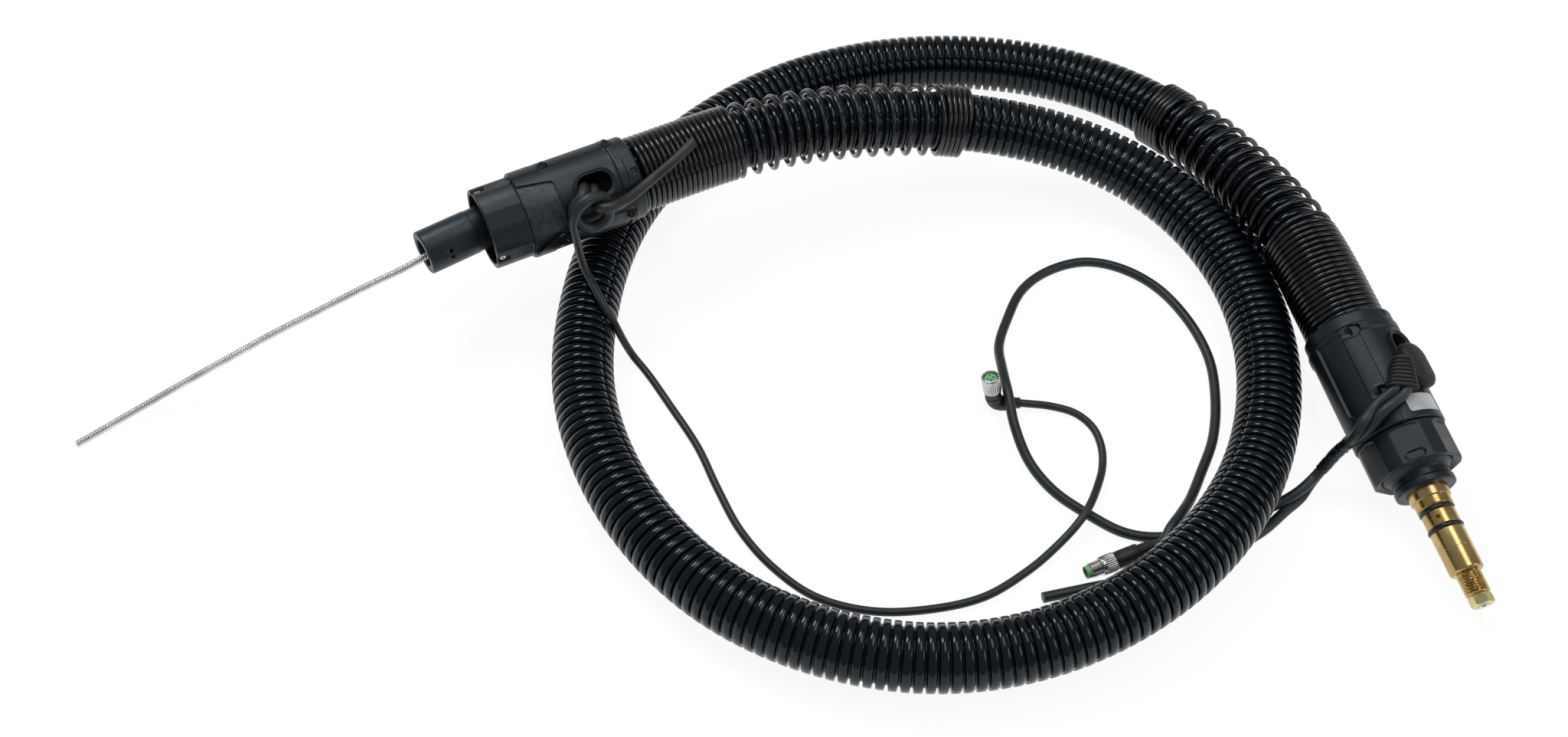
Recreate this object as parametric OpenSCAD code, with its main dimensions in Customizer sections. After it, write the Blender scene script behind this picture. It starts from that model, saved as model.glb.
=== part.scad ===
// Robot MIG torch cable assembly: a ribbed cover hose with a split housing at each end.
// The torch end carries a round barrel and the free wire liner, the feeder end a brass power pin.
// Millimetres, +Z up, the floor at z = 0. Each end is modelled along its own +X and then placed.

/* [Hose] */
// Outside diameter of the cover hose over its ribs
hose_d = 33.2; // [32.8:0.1:33.4]
// Depth of the grooves between the ribs
rib_depth = 2.2; // [1:0.1:2.4]
// Diameter of the bore, across its corners
hose_bore_d = 24; // [22.5:0.1:24.4]
// Number of ribs from end to end
rib_count = 106; // [60:1:140]
// Length of hose tucked into each housing
hose_tuck = 14; // [12:0.5:18]

/* [Cover springs] */
// Wire diameter of the cover springs
wire_d = 2.6; // [2:0.1:2.8]
// Distance from curl to curl where the springs are wound close
close_pitch = 3.1; // [3:0.05:3.4]
// Curls in the close-wound length next to the housing
close_curls = 18; // [12:1:20]
// Curls in the open length
open_curls = 12; // [8:1:14]
// Distance from curl to curl in the open length
open_pitch = 10.4; // [8:0.1:11]
// Curls in the closed free end
end_curls = 5; // [3:1:6]
// Outside diameter of a spring at its housing
spring_d = 42.4; // [42:0.1:43]
// Outside diameter of the torch-end spring at its free end
torch_spring_end_d = 41.4; // [40.5:0.1:42]
// Outside diameter of the feeder-end spring at its free end
feeder_spring_end_d = 38.8; // [38.4:0.1:39.2]

/* [Housings] */
// Length of the half shells
shell_len = 65.2; // [63:0.1:68]
// How far the raised lands of a housing stand over the hose
land_over_hose = 7.7; // [7.4:0.05:8.1]
// Height of the raised lands over the panels between them
land_h = 1.1; // [0.6:0.1:1.3]
// Wall of the shells under their panels
shell_wall = 1.1; // [0.9:0.05:1.3]
// Thickness of the wall that grips the hose
rear_wall = 6; // [4:0.5:7]
// Length of the plain band at the rear
rear_band = 7; // [6.5:0.5:9]
// Length of the oval port opening
port_len = 19; // [16:0.5:20]
// Width of the oval port opening
port_w = 12; // [10:0.5:12.5]
// Wall of the lining in the port
port_rim_wall = 1.7; // [1.2:0.1:2]
// Distance of the port centre from the rear face
port_x = 26; // [25:0.5:27]
// Distance of the rear screws from the rear face
rear_screw_x = 10; // [9:0.5:11]
// Distance from the rear screws to the front screws
screw_gap_x = 36.8; // [34:0.2:38]
// Distance of each screw's axis inside the outside of the panels
screw_inset = 2.9; // [2.7:0.05:3.1]
// Diameter of the shell screw heads
screw_head_d = 4.2; // [3.6:0.1:4.4]
// Diameter of the shell screw shanks
screw_shank_d = 2.4; // [2:0.1:2.6]
// Distance from the rear face to the cut-out that shows the sleeve
scoop_x = 45; // [44:0.5:46.5]
// Width of that cut-out
scoop_w = 28; // [20:1:30]
// Turn of the torch-end housing about its own axis
torch_roll = -38; // [-42:1:-34]
// Turn of the feeder-end housing about its own axis
feeder_roll = -31; // [-34:1:-28]

/* [Torch end] */
// Length of the end ring in front of the shells
ring_len = 21.5; // [18:0.5:23]
// How far the end ring and the coupling nut lie below the lands
ring_step = 2.1; // [1.9:0.05:2.4]
// Depth of the grip flats of the end ring
ring_flat_depth = 0.5; // [0.3:0.05:0.7]
// Height of the lip inside the mouth of the end ring
ring_lip = 0.8; // [0.6:0.05:1]
// Depth of that mouth
mouth_len = 9; // [7:0.5:11]
// Diameter of the set screws in the end ring
set_screw_d = 3; // [2.5:0.1:3.4]
// Angle of each set screw from the port's direction
set_screw_angle = 62; // [56:1:68]
// Outside diameter of the barrel that takes the torch neck
barrel_d = 24.1; // [23.6:0.1:24.3]
// Length of the barrel
barrel_len = 50; // [46:0.5:51]
// Length of the barrel's front part, which a torch neck's clamp takes
clamp_len = 28; // [24:0.5:29]
// How far the barrel is thinner behind that part
clamp_step = 0.3; // [0.2:0.05:0.4]
// Bore of the barrel
barrel_bore_d = 15.4; // [14:0.1:16.4]
// Depth of that bore
barrel_bore_len = 30; // [24:0.5:34]
// Diameter of the steel ferrule that joins the barrel to the power cable
torch_ferrule_d = 18; // [17:0.1:19]
// Length of that ferrule
torch_ferrule_len = 26; // [20:0.5:27]

/* [Feeder end] */
// Length of the coupling nut
nut_len = 20.8; // [19:0.1:22]
// Wall of the coupling nut between its bore and its outside
nut_wall = 4.35; // [4:0.05:4.7]
// Depth of the grip flats of the coupling nut
nut_flat_depth = 1.3; // [1:0.05:1.5]
// Depth of the recess at the front of the coupling nut
nut_recess = 3; // [1:0.5:5]
// Diameter of the collar in front of the coupling nut
collar_d = 30.4; // [29:0.1:31.4]
// Length of the collar in front of the coupling nut
collar_len = 9.6; // [8:0.1:11]
// Diameter of the first step of the power pin
pin_root_d = 20; // [19.4:0.1:20.6]
// Diameter of the second step of the power pin
pin_step_d = 18; // [17.4:0.1:18.6]
// Diameter of the part of the power pin that seals and seats
pin_d = 16.6; // [16.2:0.1:17]
// Distance from the collar to the pin's shoulder
pin_len = 44.5; // [42:0.5:47]
// Diameter of the thread at the end of the pin
thread_d = 12.1; // [11.8:0.1:12.4]
// Length of that thread
thread_len = 12.3; // [11.8:0.1:14]
// Section diameter of the O-rings
o_ring_section = 1.8; // [1.5:0.1:2]
// Distance from the collar to the first O-ring
o_ring_x = 11; // [10.6:0.1:12]
// Distance from one O-ring to the next
o_ring_gap = 10; // [8:0.5:11]
// Distance across the flats of the liner screw's hexagon
hex_flats = 10; // [9:0.1:10.4]
// Thickness of that hexagon
hex_len = 4.8; // [4:0.1:6]
// Diameter of the liner screw's threaded shank
liner_screw_d = 8; // [7.6:0.1:8.4]
// Length of the liner screw's shank
liner_screw_len = 10.5; // [9:0.1:11.5]
// Diameter of the steel ferrule that joins the pin to the power cable
feeder_ferrule_d = 19; // [18:0.1:20]
// Length of that ferrule
feeder_ferrule_len = 24; // [20:0.5:26]

/* [Cables] */
// Diameter of the power cable inside the hose
power_cable_d = 15; // [13:0.1:15.4]
// Diameter of the bore through the power cable
power_cable_bore_d = 5.4; // [5:0.1:6]
// Diameter of the steel wire liner
liner_d = 4; // [3.6:0.1:4.2]
// Diameter of the control core beside the power cable
control_core_d = 2.8; // [2:0.1:3]
// Diameter of the sensor cable from the torch end
sensor_cable_d = 4.2; // [3.6:0.1:4.4]
// Diameter of the rubber tube at the torch end
rubber_tube_d = 5.6; // [5:0.1:5.8]
// Diameter of the two signal cables from the feeder end
signal_cable_d = 5.4; // [4.8:0.1:5.6]
// Wall of the wrap round the signal cables
sleeve_wall = 0.5; // [0.4:0.05:0.7]

/* [Round plugs] */
// Outside diameter of the knurled plug nuts
plug_nut_d = 9.7; // [9.4:0.1:9.8]
// Diameter of the plug bodies
plug_body_d = 9; // [8.6:0.1:9.2]
// Diameter of the plug thread
plug_thread_d = 8; // [7.8:0.1:8.2]
// Diameter of the contact carriers
carrier_d = 6.4; // [6:0.1:6.6]
// Diameter of the contact pins
contact_d = 1; // [0.8:0.1:1.2]

/* [Clearances] */
// Radial running clearance of turning pieces
running_gap = 0.06; // [0.03:0.01:0.09]
// Gap between pieces that are seated on each other
seat_gap = 0.3; // [0.25:0.05:0.4]
// Radial clearance of pieces that are pushed together
push_gap = 0.1; // [0.05:0.05:0.2]

/* [Hidden] */
$fn = 64;

eps = 0.01;
sides = 8;
corner_angle = 180 / sides;

// Outside sizes of the housings and of the rings in front of them
land_r = hose_d / 2 + land_over_hose;
panel_r = land_r - land_h;
cavity_r = panel_r - shell_wall;
screw_y = panel_r - screw_inset;
ring_d = 2 * (land_r - ring_step);
ring_flats = ring_d - 2 * ring_flat_depth;
nut_flats = ring_d - 2 * nut_flat_depth;
nut_bore_d = ring_d - 2 * nut_wall;

// Where the two ends lie, and how they are turned
torch_yaw = 207.5;
torch_at = [-70.5, 66.5, hose_d + land_r + seat_gap];
feeder_yaw = -76;
feeder_tilt = 8;
nut_x = shell_len + seat_gap;
nut_front_x = nut_x + nut_len;
feeder_at = [311, -25, ring_d / 2 * cos(feeder_tilt) + nut_front_x * sin(feeder_tilt)];
barrel_at = torch_at + [-107.5, -54.1, -3.5];
barrel_yaw = 214;

// Housing sizes
land_angles = [50, 71];
front_screw_x = rear_screw_x + screw_gap_x;
screw_boss_r = 2.7;
screw_head_len = 2;
screw_seat_z = 10.5;
screw_depth = 6;
hose_hole_r = hose_d / 2 / cos(corner_angle / 2) + seat_gap + 0.5;
port_len_outer = port_len + 2 * port_rim_wall;
port_w_outer = port_w + 2 * port_rim_wall;
sleeve_r = cavity_r - push_gap;
sleeve_wall_t = 1.5;
ring_front_x = shell_len + seat_gap + ring_len;
set_screw_x = ring_front_x - 3.2;

// Feeder-end sizes along the housing's axis
collar_x = nut_front_x + collar_len;
collar_tail_x = front_screw_x + screw_boss_r + 1;
flange_r = nut_bore_d / 2 - running_gap;
catch_h = 0.8;
catch_x = nut_x + 7.5;
catch_w = 3;
pin_shoulder_x = collar_x + pin_len;
pin_front_x = pin_shoulder_x + thread_len;
pin_rear_x = collar_tail_x + 2.5;
pin_flange_r = 13.8;
pin_flange_len = 6.8;
pin_bore_r = liner_d / 2 + seat_gap;
screw_bore_len = liner_screw_len + 1.2;
sleeve_out_r = 2.4;
sleeve_hole_r = 1.1;

// Route of the hose: its ends follow the housings, the points between lie along its free length
straight = 30;
hose_points = [[22, 108.5, 56.5], [66, 120.5, 51], [114, 127, 44.5], [163, 124, 37],
    [210, 107, 29.5], [247.5, 76, 21.5], [270, 31.5, 17], [275, -20, 16.6], [266.2, -70, 17.8],
    [246.5, -116, 21], [215.3, -156, 24], [175.5, -186, 22.5], [130, -203.5, 17],
    [79, -209.5, 16.6], [29, -199.5, 16.6], [-16.5, -177, 16.6], [-53, -141, 16.6],
    [-79, -97.5, 16.6], [-94, -49, 16.6], [-94.5, 2, 16.6], [-88, 52, 16.6], [-70, 101, 16.6],
    [-38, 144, 16.6], [2, 178.5, 16.6], [48, 201, 16.6], [98, 211.5, 16.6], [149, 209.5, 16.6],
    [197, 194.5, 18], [236, 166, 20.5], [264.5, 127, 25], [284, 82, 32]];

// Free cables and the free end of the wire liner
liner_points = [[-168, 19, 54], [-181, 8.5, 52.5], [-190.5, 2, 51.5], [-206, -5, 48],
    [-230.5, -15, 40.5], [-255.5, -23, 31], [-280.5, -32, 21], [-309.5, -44, 10.5],
    [-336, -59.5, 4], [-356.5, -75, 2]];
sensor_points = [[-94, 44.5, 70], [-92.5, 40.5, 76], [-92.5, 32, 77.5], [-97, 27, 73],
    [-95, 23.5, 66], [-88.5, 24.5, 61], [-81.5, 28.5, 62.5], [-79, 31.5, 69.5],
    [-81.5, 31, 77.5], [-88, 27, 80.5], [-94, 22.5, 78], [-97, 19.5, 71], [-96.5, 18.5, 58],
    [-95.5, 17.5, 46], [-94, 16, 38.5], [-91, 11, 36], [-87.5, 3.5, 35.4], [-83.5, -4, 33],
    [-78, -11, 27], [-72.5, -15, 13], [-68, -18, 4.5], [-62, -25, 2.1], [-46, -51, 2.1],
    [-31, -77, 2.1], [-20, -103, 2.1], [-8, -128, 2.1], [8, -149, 2.1], [29, -166, 2.1],
    [56, -174, 2.1], [85, -173, 2.1], [112, -166, 2.1], [135, -151, 2.1], [150, -138, 3.5],
    [160, -128.5, 7], [167, -119, 8.2], [174, -104, 5], [179, -89, 2.1], [180, -76, 2.1],
    [177, -64, 2.1], [169, -55, 2.3], [156, -51, 3.4], [140, -50, 4.8]];
tube_points = [[-89.5, 45.5, 69], [-87.5, 41, 74], [-86.5, 35.5, 75.5], [-85.5, 28.5, 74],
    [-81.5, 25, 75.5], [-76, 26.5, 75.5], [-70.5, 34, 72], [-58, 49, 72], [-46, 59, 76.5],
    [-35, 70.5, 80]];
signal_points = [[318.4, -75.6, 54.8], [316.6, -78.6, 53.2], [308.2, -83.8, 47.8],
    [301.1, -92, 45], [298.4, -95.8, 39.2], [296.3, -95.4, 31.6], [292.2, -96.3, 23.5],
    [286.8, -99.8, 15], [283.3, -102.3, 10.8], [278.6, -106.2, 9.4], [273.1, -109.9, 7.6],
    [264.4, -113.6, 4.2], [250, -119.8, 2.7],
    [222, -129, 2.7], [199, -132.5, 2.7], [184, -129.5, 2.7], [168, -119, 2.7], [152, -105, 3],
    [141, -88, 4.5], [134.5, -68, 9.5], [132.5, -50, 12.9], [131.5, -31, 9.5], [132, -10, 4],
    [138, 9, 2.7], [149, 32, 2.7], [165, 46, 2.7], [186, 53, 2.7], [205, 49, 2.7],
    [224, 35, 2.7], [238, 12, 2.7], [246, -17, 2.7], [245, -45, 2.7], [239, -72, 2.7],
    [229, -94, 2.7], [221, -110, 4], [214, -121, 7.5], [207, -130.5, 9.4],
    [201.5, -138.5, 7.4], [196.5, -140.5, 7]];
cut_points = [[323.8, -76.8, 55], [321.6, -80.4, 53.5], [310.6, -88.5, 49], [305.1, -92.7, 41.6],
    [302.2, -93.6, 36.2], [299.4, -91.6, 28.8], [295.3, -92.5, 20.7], [289.9, -96, 12.2],
    [284, -101, 5.4], [277.2, -109.2, 2.8], [268, -117, 2.7], [254, -129, 2.7], [233, -141, 2.7],
    [209, -151, 2.7],
    [185, -157, 2.7], [166, -161, 2.7], [140, -167, 2.7]];
wrap_first = 5;
wrap_last = 7;

// Plugs
angled_plug_at = [126, -50, 5];
angled_plug_lean = 14.6;
angled_plug_azimuth = 143;
straight_plug_at = [196.5, -140.5, 7];
straight_plug_yaw = 201.8;
straight_plug_dip = 3.1;

// ---- Points along a smooth route ----
function unit(v) = v / norm(v);

// Point of a uniform cubic B-spline through its span number and fraction
function spline_point(p, t) =
    let (i = min(floor(t), len(p) - 4), f = t - i)
    (pow(1 - f, 3) * p[i]
        + (3 * pow(f, 3) - 6 * f * f + 4) * p[i + 1]
        + (-3 * pow(f, 3) + 3 * f * f + 3 * f + 1) * p[i + 2]
        + pow(f, 3) * p[i + 3]) / 6;

function axis_dir(yaw, tilt) = [cos(yaw) * cos(tilt), sin(yaw) * cos(tilt), -sin(tilt)];
function torch_axis(x) = torch_at + x * axis_dir(torch_yaw, 0);
function feeder_axis(x) = feeder_at + x * axis_dir(feeder_yaw, feeder_tilt);
function barrel_axis(x) = barrel_at + x * axis_dir(barrel_yaw, 0);

// The first points of a cable keep their distance from the housing that the cable leaves
points_land_r = 24.3;
points_torch_z = 57.8;
points_feeder_z = 33.995;
function off_axis(p, at, dir) = (p - at) - dir * ((p - at) * dir);
function beside(p, at, dir, lift) =
    p + [0, 0, lift] + (land_r - points_land_r) * unit(off_axis(p + [0, 0, lift], at, dir));
function leaving(points, count, at, dir, lift) = [for (i = [0:len(points) - 1])
    i < count ? beside(points[i], at, dir, lift) : points[i]];
sensor_route = leaving(sensor_points, 18, torch_at, axis_dir(torch_yaw, 0), torch_at.z - points_torch_z);
tube_route = leaving(tube_points, 10, torch_at, axis_dir(torch_yaw, 0), torch_at.z - points_torch_z);
signal_route = leaving(signal_points, 8, feeder_at, axis_dir(feeder_yaw, feeder_tilt),
    feeder_at.z - points_feeder_z);
cut_route = leaving(cut_points, 8, feeder_at, axis_dir(feeder_yaw, feeder_tilt),
    feeder_at.z - points_feeder_z);

route_points = concat([for (x = [2, 1, 0, -1, -2]) torch_axis(x * straight)], hose_points,
    [for (x = [-2, -1, 0, 1, 2]) feeder_axis(x * straight)]);
steps_per_span = 8;
route_steps = (len(route_points) - 3) * steps_per_span;
dense = [for (i = [0:route_steps]) spline_point(route_points, i / steps_per_span)];
arc = [for (i = 0, s = 0; i <= route_steps;
    s = s + norm(dense[min(i + 1, route_steps)] - dense[i]), i = i + 1) s];
route_len = arc[route_steps];
x_table = [for (i = [0:route_steps]) [arc[i], dense[i].x]];
y_table = [for (i = [0:route_steps]) [arc[i], dense[i].y]];
z_table = [for (i = [0:route_steps]) [arc[i], dense[i].z]];

function route_at(s) = [lookup(s, x_table), lookup(s, y_table), lookup(s, z_table)];
function route_dir(s) = unit(route_at(min(s + 3, route_len)) - route_at(max(s - 3, 0)));
function side_of(dir) = unit(cross(dir, [0, 0, 1]));
function around(centre, dir, r, a) =
    let (side = side_of(dir)) centre + r * (cos(a) * side + sin(a) * cross(side, dir));

torch_rear_s = straight;
feeder_rear_s = route_len - straight;
hose_first_s = torch_rear_s - hose_tuck;
hose_last_s = feeder_rear_s + hose_tuck;
hose_len = hose_last_s - hose_first_s;

// ---- Swept tubes as closed meshes ----
function ring_quads(rings, n, first) = [for (i = [0:rings - 2], j = [0:n - 1])
    let (k = (j + 1) % n, a = first + i * n)
    each [[a + j, a + k, a + n + k], [a + j, a + n + k, a + n + j]]];
function flipped(faces) = [for (f = faces) [f[0], f[2], f[1]]];
function start_cap(n) = [for (j = [1:n - 2]) [0, j + 1, j]];
function end_cap(rings, n) = [for (j = [1:n - 2]) let (a = (rings - 1) * n) [a, a + j, a + j + 1]];
function rim_faces(outer, inner, n) = [for (j = [0:n - 1])
    let (k = (j + 1) % n)
    each [[outer + j, inner + j, inner + k], [outer + j, inner + k, outer + k]]];

// Solid tube through a list of rings with n points each
module solid_tube(rings, n) {
    polyhedron([for (r = rings) each r],
        concat(ring_quads(len(rings), n, 0), start_cap(n), end_cap(len(rings), n)));
}

// Tube with a bore: outer and inner rings have n points each
module hollow_tube(outer, inner, n) {
    outer_points = [for (r = outer) each r];
    inner_points = [for (r = inner) each r];
    inner_first = len(outer_points);
    inner_last = inner_first + (len(inner) - 1) * n;
    polyhedron(concat(outer_points, inner_points),
        concat(ring_quads(len(outer), n, 0), flipped(ring_quads(len(inner), n, inner_first)),
            rim_faces(0, inner_first, n), flipped(rim_faces((len(outer) - 1) * n, inner_last, n))));
}

// Rings of a tube that follows the hose's route, off its axis by offset_r at offset_a
function route_ring(s, r, n, offset_r = 0, offset_a = 0) =
    let (dir = route_dir(s), c = around(route_at(s), dir, offset_r, offset_a))
    [for (j = [0:n - 1]) around(c, dir, r, (j + 0.5) * 360 / n)];

// Rings along a list of points, with a frame that doesn't twist from ring to ring
function point_dirs(p) = [for (i = [0:len(p) - 1])
    unit(p[min(i + 1, len(p) - 1)] - p[max(i - 1, 0)])];
function first_side(dir) = unit(cross(dir, abs(dir.z) < 0.9 ? [0, 0, 1] : [1, 0, 0]));
function carried(side, dir) = unit(side - dir * (side * dir));
function point_sides(dirs) = [for (i = 0, side = first_side(dirs[0]); i < len(dirs);
    i = i + 1, side = carried(side, dirs[min(i, len(dirs) - 1)])) side];
function point_rings(p, r, n) =
    let (dirs = point_dirs(p), sides_at = point_sides(dirs))
    [for (i = [0:len(p) - 1]) [for (j = [0:n - 1])
        let (a = (j + 0.5) * 360 / n)
        p[i] + r * (cos(a) * sides_at[i] + sin(a) * cross(sides_at[i], dirs[i]))]];

// ---- Cover springs ----
spring_curls = close_curls + open_curls + end_curls;
rings_per_curl = 8;
wire_corner_r = wire_d / 2 * 1.12;
tail_len = wire_d;
curl_start = tail_len + 2;

// Distance of the wire from the rear face after a number of curls
function spring_x(curl) = curl_start + close_pitch * min(curl, close_curls)
    + open_pitch * max(0, min(curl - close_curls, open_curls))
    + close_pitch * max(0, curl - close_curls - open_curls);
spring_len = spring_x(spring_curls);

// Radius of the wire's centre at a distance from the rear face
torch_taper = [spring_x(close_curls + open_curls / 2), spring_x(close_curls + open_curls)];
feeder_taper = [spring_x(close_curls * 0.4), spring_x(close_curls)];
function spring_r(x, end_d, taper) =
    lookup(x, [[taper[0], (spring_d - wire_d) / 2], [taper[1], (end_d - wire_d) / 2]]);

// One curl point, at a distance x from a rear face at route length s0, in the direction way
function spring_point(x, a, s0, way, end_d, taper) =
    around(route_at(s0 + way * x), route_dir(s0 + way * x), spring_r(x, end_d, taper), a);
function spring_axis(x, s0, way) = route_at(s0 + way * x);

// Square ring of wire at a point, looking along dir, with one flat to the spring's axis
function wire_ring(p, dir, axis_point) =
    let (out = unit(cross(dir, cross(unit(p - axis_point), dir))), up = cross(out, dir))
    [for (j = [0:3]) p + wire_corner_r * (cos(45 + 90 * j) * out + sin(45 + 90 * j) * up)];

spring_steps = spring_curls * rings_per_curl;
function curl_points(s0, way, end_d, taper) = [for (i = [0:spring_steps])
    let (curl = i / rings_per_curl)
    spring_point(spring_x(curl), corner_angle + 360 * curl, s0, way, end_d, taper)];

module cover_spring(s0, way, end_d, taper) {
    p = curl_points(s0, way, end_d, taper);
    x = [for (i = [0:spring_steps]) spring_x(i / rings_per_curl)];
    tail_a = corner_angle - 14;
    bend_a = corner_angle - 8;
    foot = spring_point(0, tail_a, s0, way, end_d, taper);
    knee = spring_point(tail_len, tail_a, s0, way, end_d, taper);
    bend = spring_point(curl_start - 0.6, bend_a, s0, way, end_d, taper);
    all_points = concat([foot, knee, bend], p);
    all_x = concat([0, tail_len, curl_start - 0.6], x);
    last = len(all_points) - 1;
    dirs = [for (i = [0:last]) i == 0 ? unit(knee - foot)
        : unit(all_points[min(i + 1, last)] - all_points[i - 1])];
    solid_tube([for (i = [0:last])
        wire_ring(all_points[i], dirs[i], spring_axis(all_x[i], s0, way))], 4);
}

// Least gap from curl to curl, measured on the points one turn apart
function curl_gap(s0, way, end_d, taper) =
    let (p = curl_points(s0, way, end_d, taper))
    min([for (i = [0:spring_steps - rings_per_curl]) norm(p[i + rings_per_curl] - p[i])])
        - 2 * wire_corner_r * cos(45);
echo(torch_spring_least_gap = curl_gap(torch_rear_s, 1, torch_spring_end_d, torch_taper));
echo(feeder_spring_least_gap = curl_gap(feeder_rear_s, -1, feeder_spring_end_d, feeder_taper));
echo(hose_length = hose_len, spring_length = spring_len);

// ---- Hose and what runs inside it ----
hose_corner_r = hose_d / 2 / cos(corner_angle / 2) * 1.02;
bore_rings = 44;
bore_s = [for (i = [0:bore_rings]) hose_first_s + hose_len * i / bore_rings];

// Largest corner radius that stays clear inside the cover springs
function under_spring(x, end_d, taper) = x > spring_len + 4 ? hose_corner_r
    : spring_r(x, end_d, taper) - (wire_d / 2 + 0.45) / cos(corner_angle);
function crest_r(s) = min(hose_corner_r,
    under_spring(s - torch_rear_s, torch_spring_end_d, torch_taper),
    under_spring(feeder_rear_s - s, feeder_spring_end_d, feeder_taper));

module hose() {
    rings = 2 * rib_count;
    outer = [for (i = [0:rings])
        let (s = hose_first_s + hose_len * i / rings)
        [for (p = route_ring(s, crest_r(s) - (i % 2 == 0 ? rib_depth : 0), sides))
            [p.x, p.y, max(p.z, 0)]]];
    inner = [for (s = bore_s) route_ring(s, hose_bore_d / 2, sides)];
    color([0.05, 0.06, 0.07]) hollow_tube(outer, inner, sides);
}

module torch_spring() {
    color([0.07, 0.08, 0.09])
        cover_spring(torch_rear_s, 1, torch_spring_end_d, torch_taper);
}

module feeder_spring() {
    color([0.07, 0.08, 0.09])
        cover_spring(feeder_rear_s, -1, feeder_spring_end_d, feeder_taper);
}

// The power cable leaves the torch-end ferrule askew and joins the hose's axis
torch_ferrule_rear = -barrel_len - torch_ferrule_len;
cable_lead = [barrel_axis(torch_ferrule_rear), barrel_axis(torch_ferrule_rear - 6),
    torch_axis(24) + [2.5, -5.5, -2.2], torch_axis(15) + [0.8, -2, -0.8]];
feeder_ferrule_x = pin_rear_x - feeder_ferrule_len;
cable_points = concat(cable_lead,
    [for (s = bore_s) if (s > torch_rear_s - 12 && s < feeder_rear_s) route_at(s)],
    [feeder_axis(0), feeder_axis(feeder_ferrule_x)]);

module power_cable() {
    color([0.12, 0.12, 0.12])
        hollow_tube(point_rings(cable_points, power_cable_d / 2, sides),
            point_rings(cable_points, power_cable_bore_d / 2, sides), sides);
}

module liner_core() {
    inner_points = concat([barrel_axis(-barrel_bore_len - seat_gap)], cable_points,
        [feeder_axis(pin_front_x - liner_screw_len - seat_gap)]);
    color([0.7, 0.7, 0.72]) solid_tube(point_rings(inner_points, liner_d / 2, 6), 6);
}

core_offset = (power_cable_d / 2 + hose_bore_d / 2 * cos(corner_angle)) / 2;
module control_core() {
    color([0.2, 0.2, 0.22])
        solid_tube([for (s = bore_s) route_ring(s, control_core_d / 2, 6, core_offset, 90)], 6);
}

// ---- Placement of the two ends and the barrel ----
module at_torch_end() {
    translate(torch_at) rotate([0, 0, torch_yaw]) children();
}

module at_feeder_end() {
    translate(feeder_at) rotate([0, feeder_tilt, feeder_yaw]) children();
}

module at_barrel() {
    translate(barrel_at) rotate([0, 0, barrel_yaw]) children();
}

// ---- Shapes shared by both housings, along +X, with the port towards +Z ----
module along_x(x0, x1) {
    translate([x0, 0, 0]) rotate([90, 0, 90]) linear_extrude(x1 - x0) children();
}

module rod_x(x0, x1, r) {
    translate([x0, 0, 0]) rotate([0, 90, 0]) cylinder(h = x1 - x0, r = r);
}

module oval(length, width) {
    square([length - width, width], center = true);
    for (x = [-1, 1]) translate([x * (length - width) / 2, 0]) circle(d = width);
}

module land_sector(a) {
    reach = 2 * land_r;
    polygon([[0, 0], reach * [sin(a[0]), cos(a[0])], reach * [sin(a[1]), cos(a[1])]]);
}

module land_profile() {
    circle(r = panel_r);
    intersection() {
        circle(r = land_r);
        for (m = [0, 1], n = [0, 1]) mirror([m, 0]) mirror([0, n]) land_sector(land_angles);
    }
}

module at_screws() {
    for (x = [rear_screw_x, front_screw_x], y = [-screw_y, screw_y])
        translate([x, y, 0]) children();
}

// Shell body before it is split: walls, lands, screw bosses and the hole for the hose
module shell_body() {
    difference() {
        union() {
            rod_x(0, rear_band, panel_r);
            along_x(rear_band, shell_len) land_profile();
        }
        rod_x(-eps, hose_tuck + 1, hose_hole_r);
        difference() {
            rod_x(rear_wall, shell_len + eps, cavity_r);
            at_screws() cylinder(r = screw_boss_r, h = 2 * screw_seat_z + 12, center = true);
        }
    }
}

module port_shell(scooped) {
    difference() {
        shell_body();
        translate([-1, -land_r - 1, push_gap / 2 - 2 * land_r])
            cube([shell_len + 2, 2 * land_r + 2, 2 * land_r]);
        translate([port_x, 0, 0])
            linear_extrude(2 * land_r) oval(port_len_outer + 2 * push_gap, port_w_outer + 2 * push_gap);
        at_screws() {
            translate([0, 0, screw_seat_z]) cylinder(d = screw_head_d + 2 * push_gap, h = land_r);
            cylinder(d = screw_shank_d + 2 * push_gap, h = land_r);
        }
        if (scooped) {
            translate([scoop_x + scoop_w / 2, 0, 0]) cylinder(d = scoop_w, h = 2 * land_r);
            translate([scoop_x + scoop_w / 2, -scoop_w / 2, 0]) cube([shell_len, scoop_w, 2 * land_r]);
        }
        translate([rear_band / 2 - 1, -2, panel_r - 0.8]) cube([2, 4, 2]);
    }
}

module back_shell() {
    rotate([180, 0, 0]) difference() {
        shell_body();
        translate([-1, -land_r - 1, push_gap / 2 - 2 * land_r])
            cube([shell_len + 2, 2 * land_r + 2, 2 * land_r]);
        at_screws() translate([0, 0, -1])
            cylinder(d = screw_shank_d + 2 * running_gap, h = screw_depth + 1);
    }
}

module shell_screws() {
    socket_d = screw_head_d * 0.5;
    at_screws() difference() {
        union() {
            translate([0, 0, screw_seat_z]) cylinder(d = screw_head_d, h = screw_head_len);
            translate([0, 0, -screw_depth + seat_gap])
                cylinder(d = screw_shank_d, h = screw_seat_z + screw_depth);
        }
        translate([0, 0, screw_seat_z + screw_head_len / 2])
            cylinder(d = socket_d, h = screw_head_len, $fn = 6);
    }
}

module port_rim() {
    rim_low = cavity_r - 2;
    translate([port_x, 0, rim_low]) linear_extrude(land_r - rim_low) difference() {
        oval(port_len_outer, port_w_outer);
        oval(port_len, port_w);
    }
}

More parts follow.
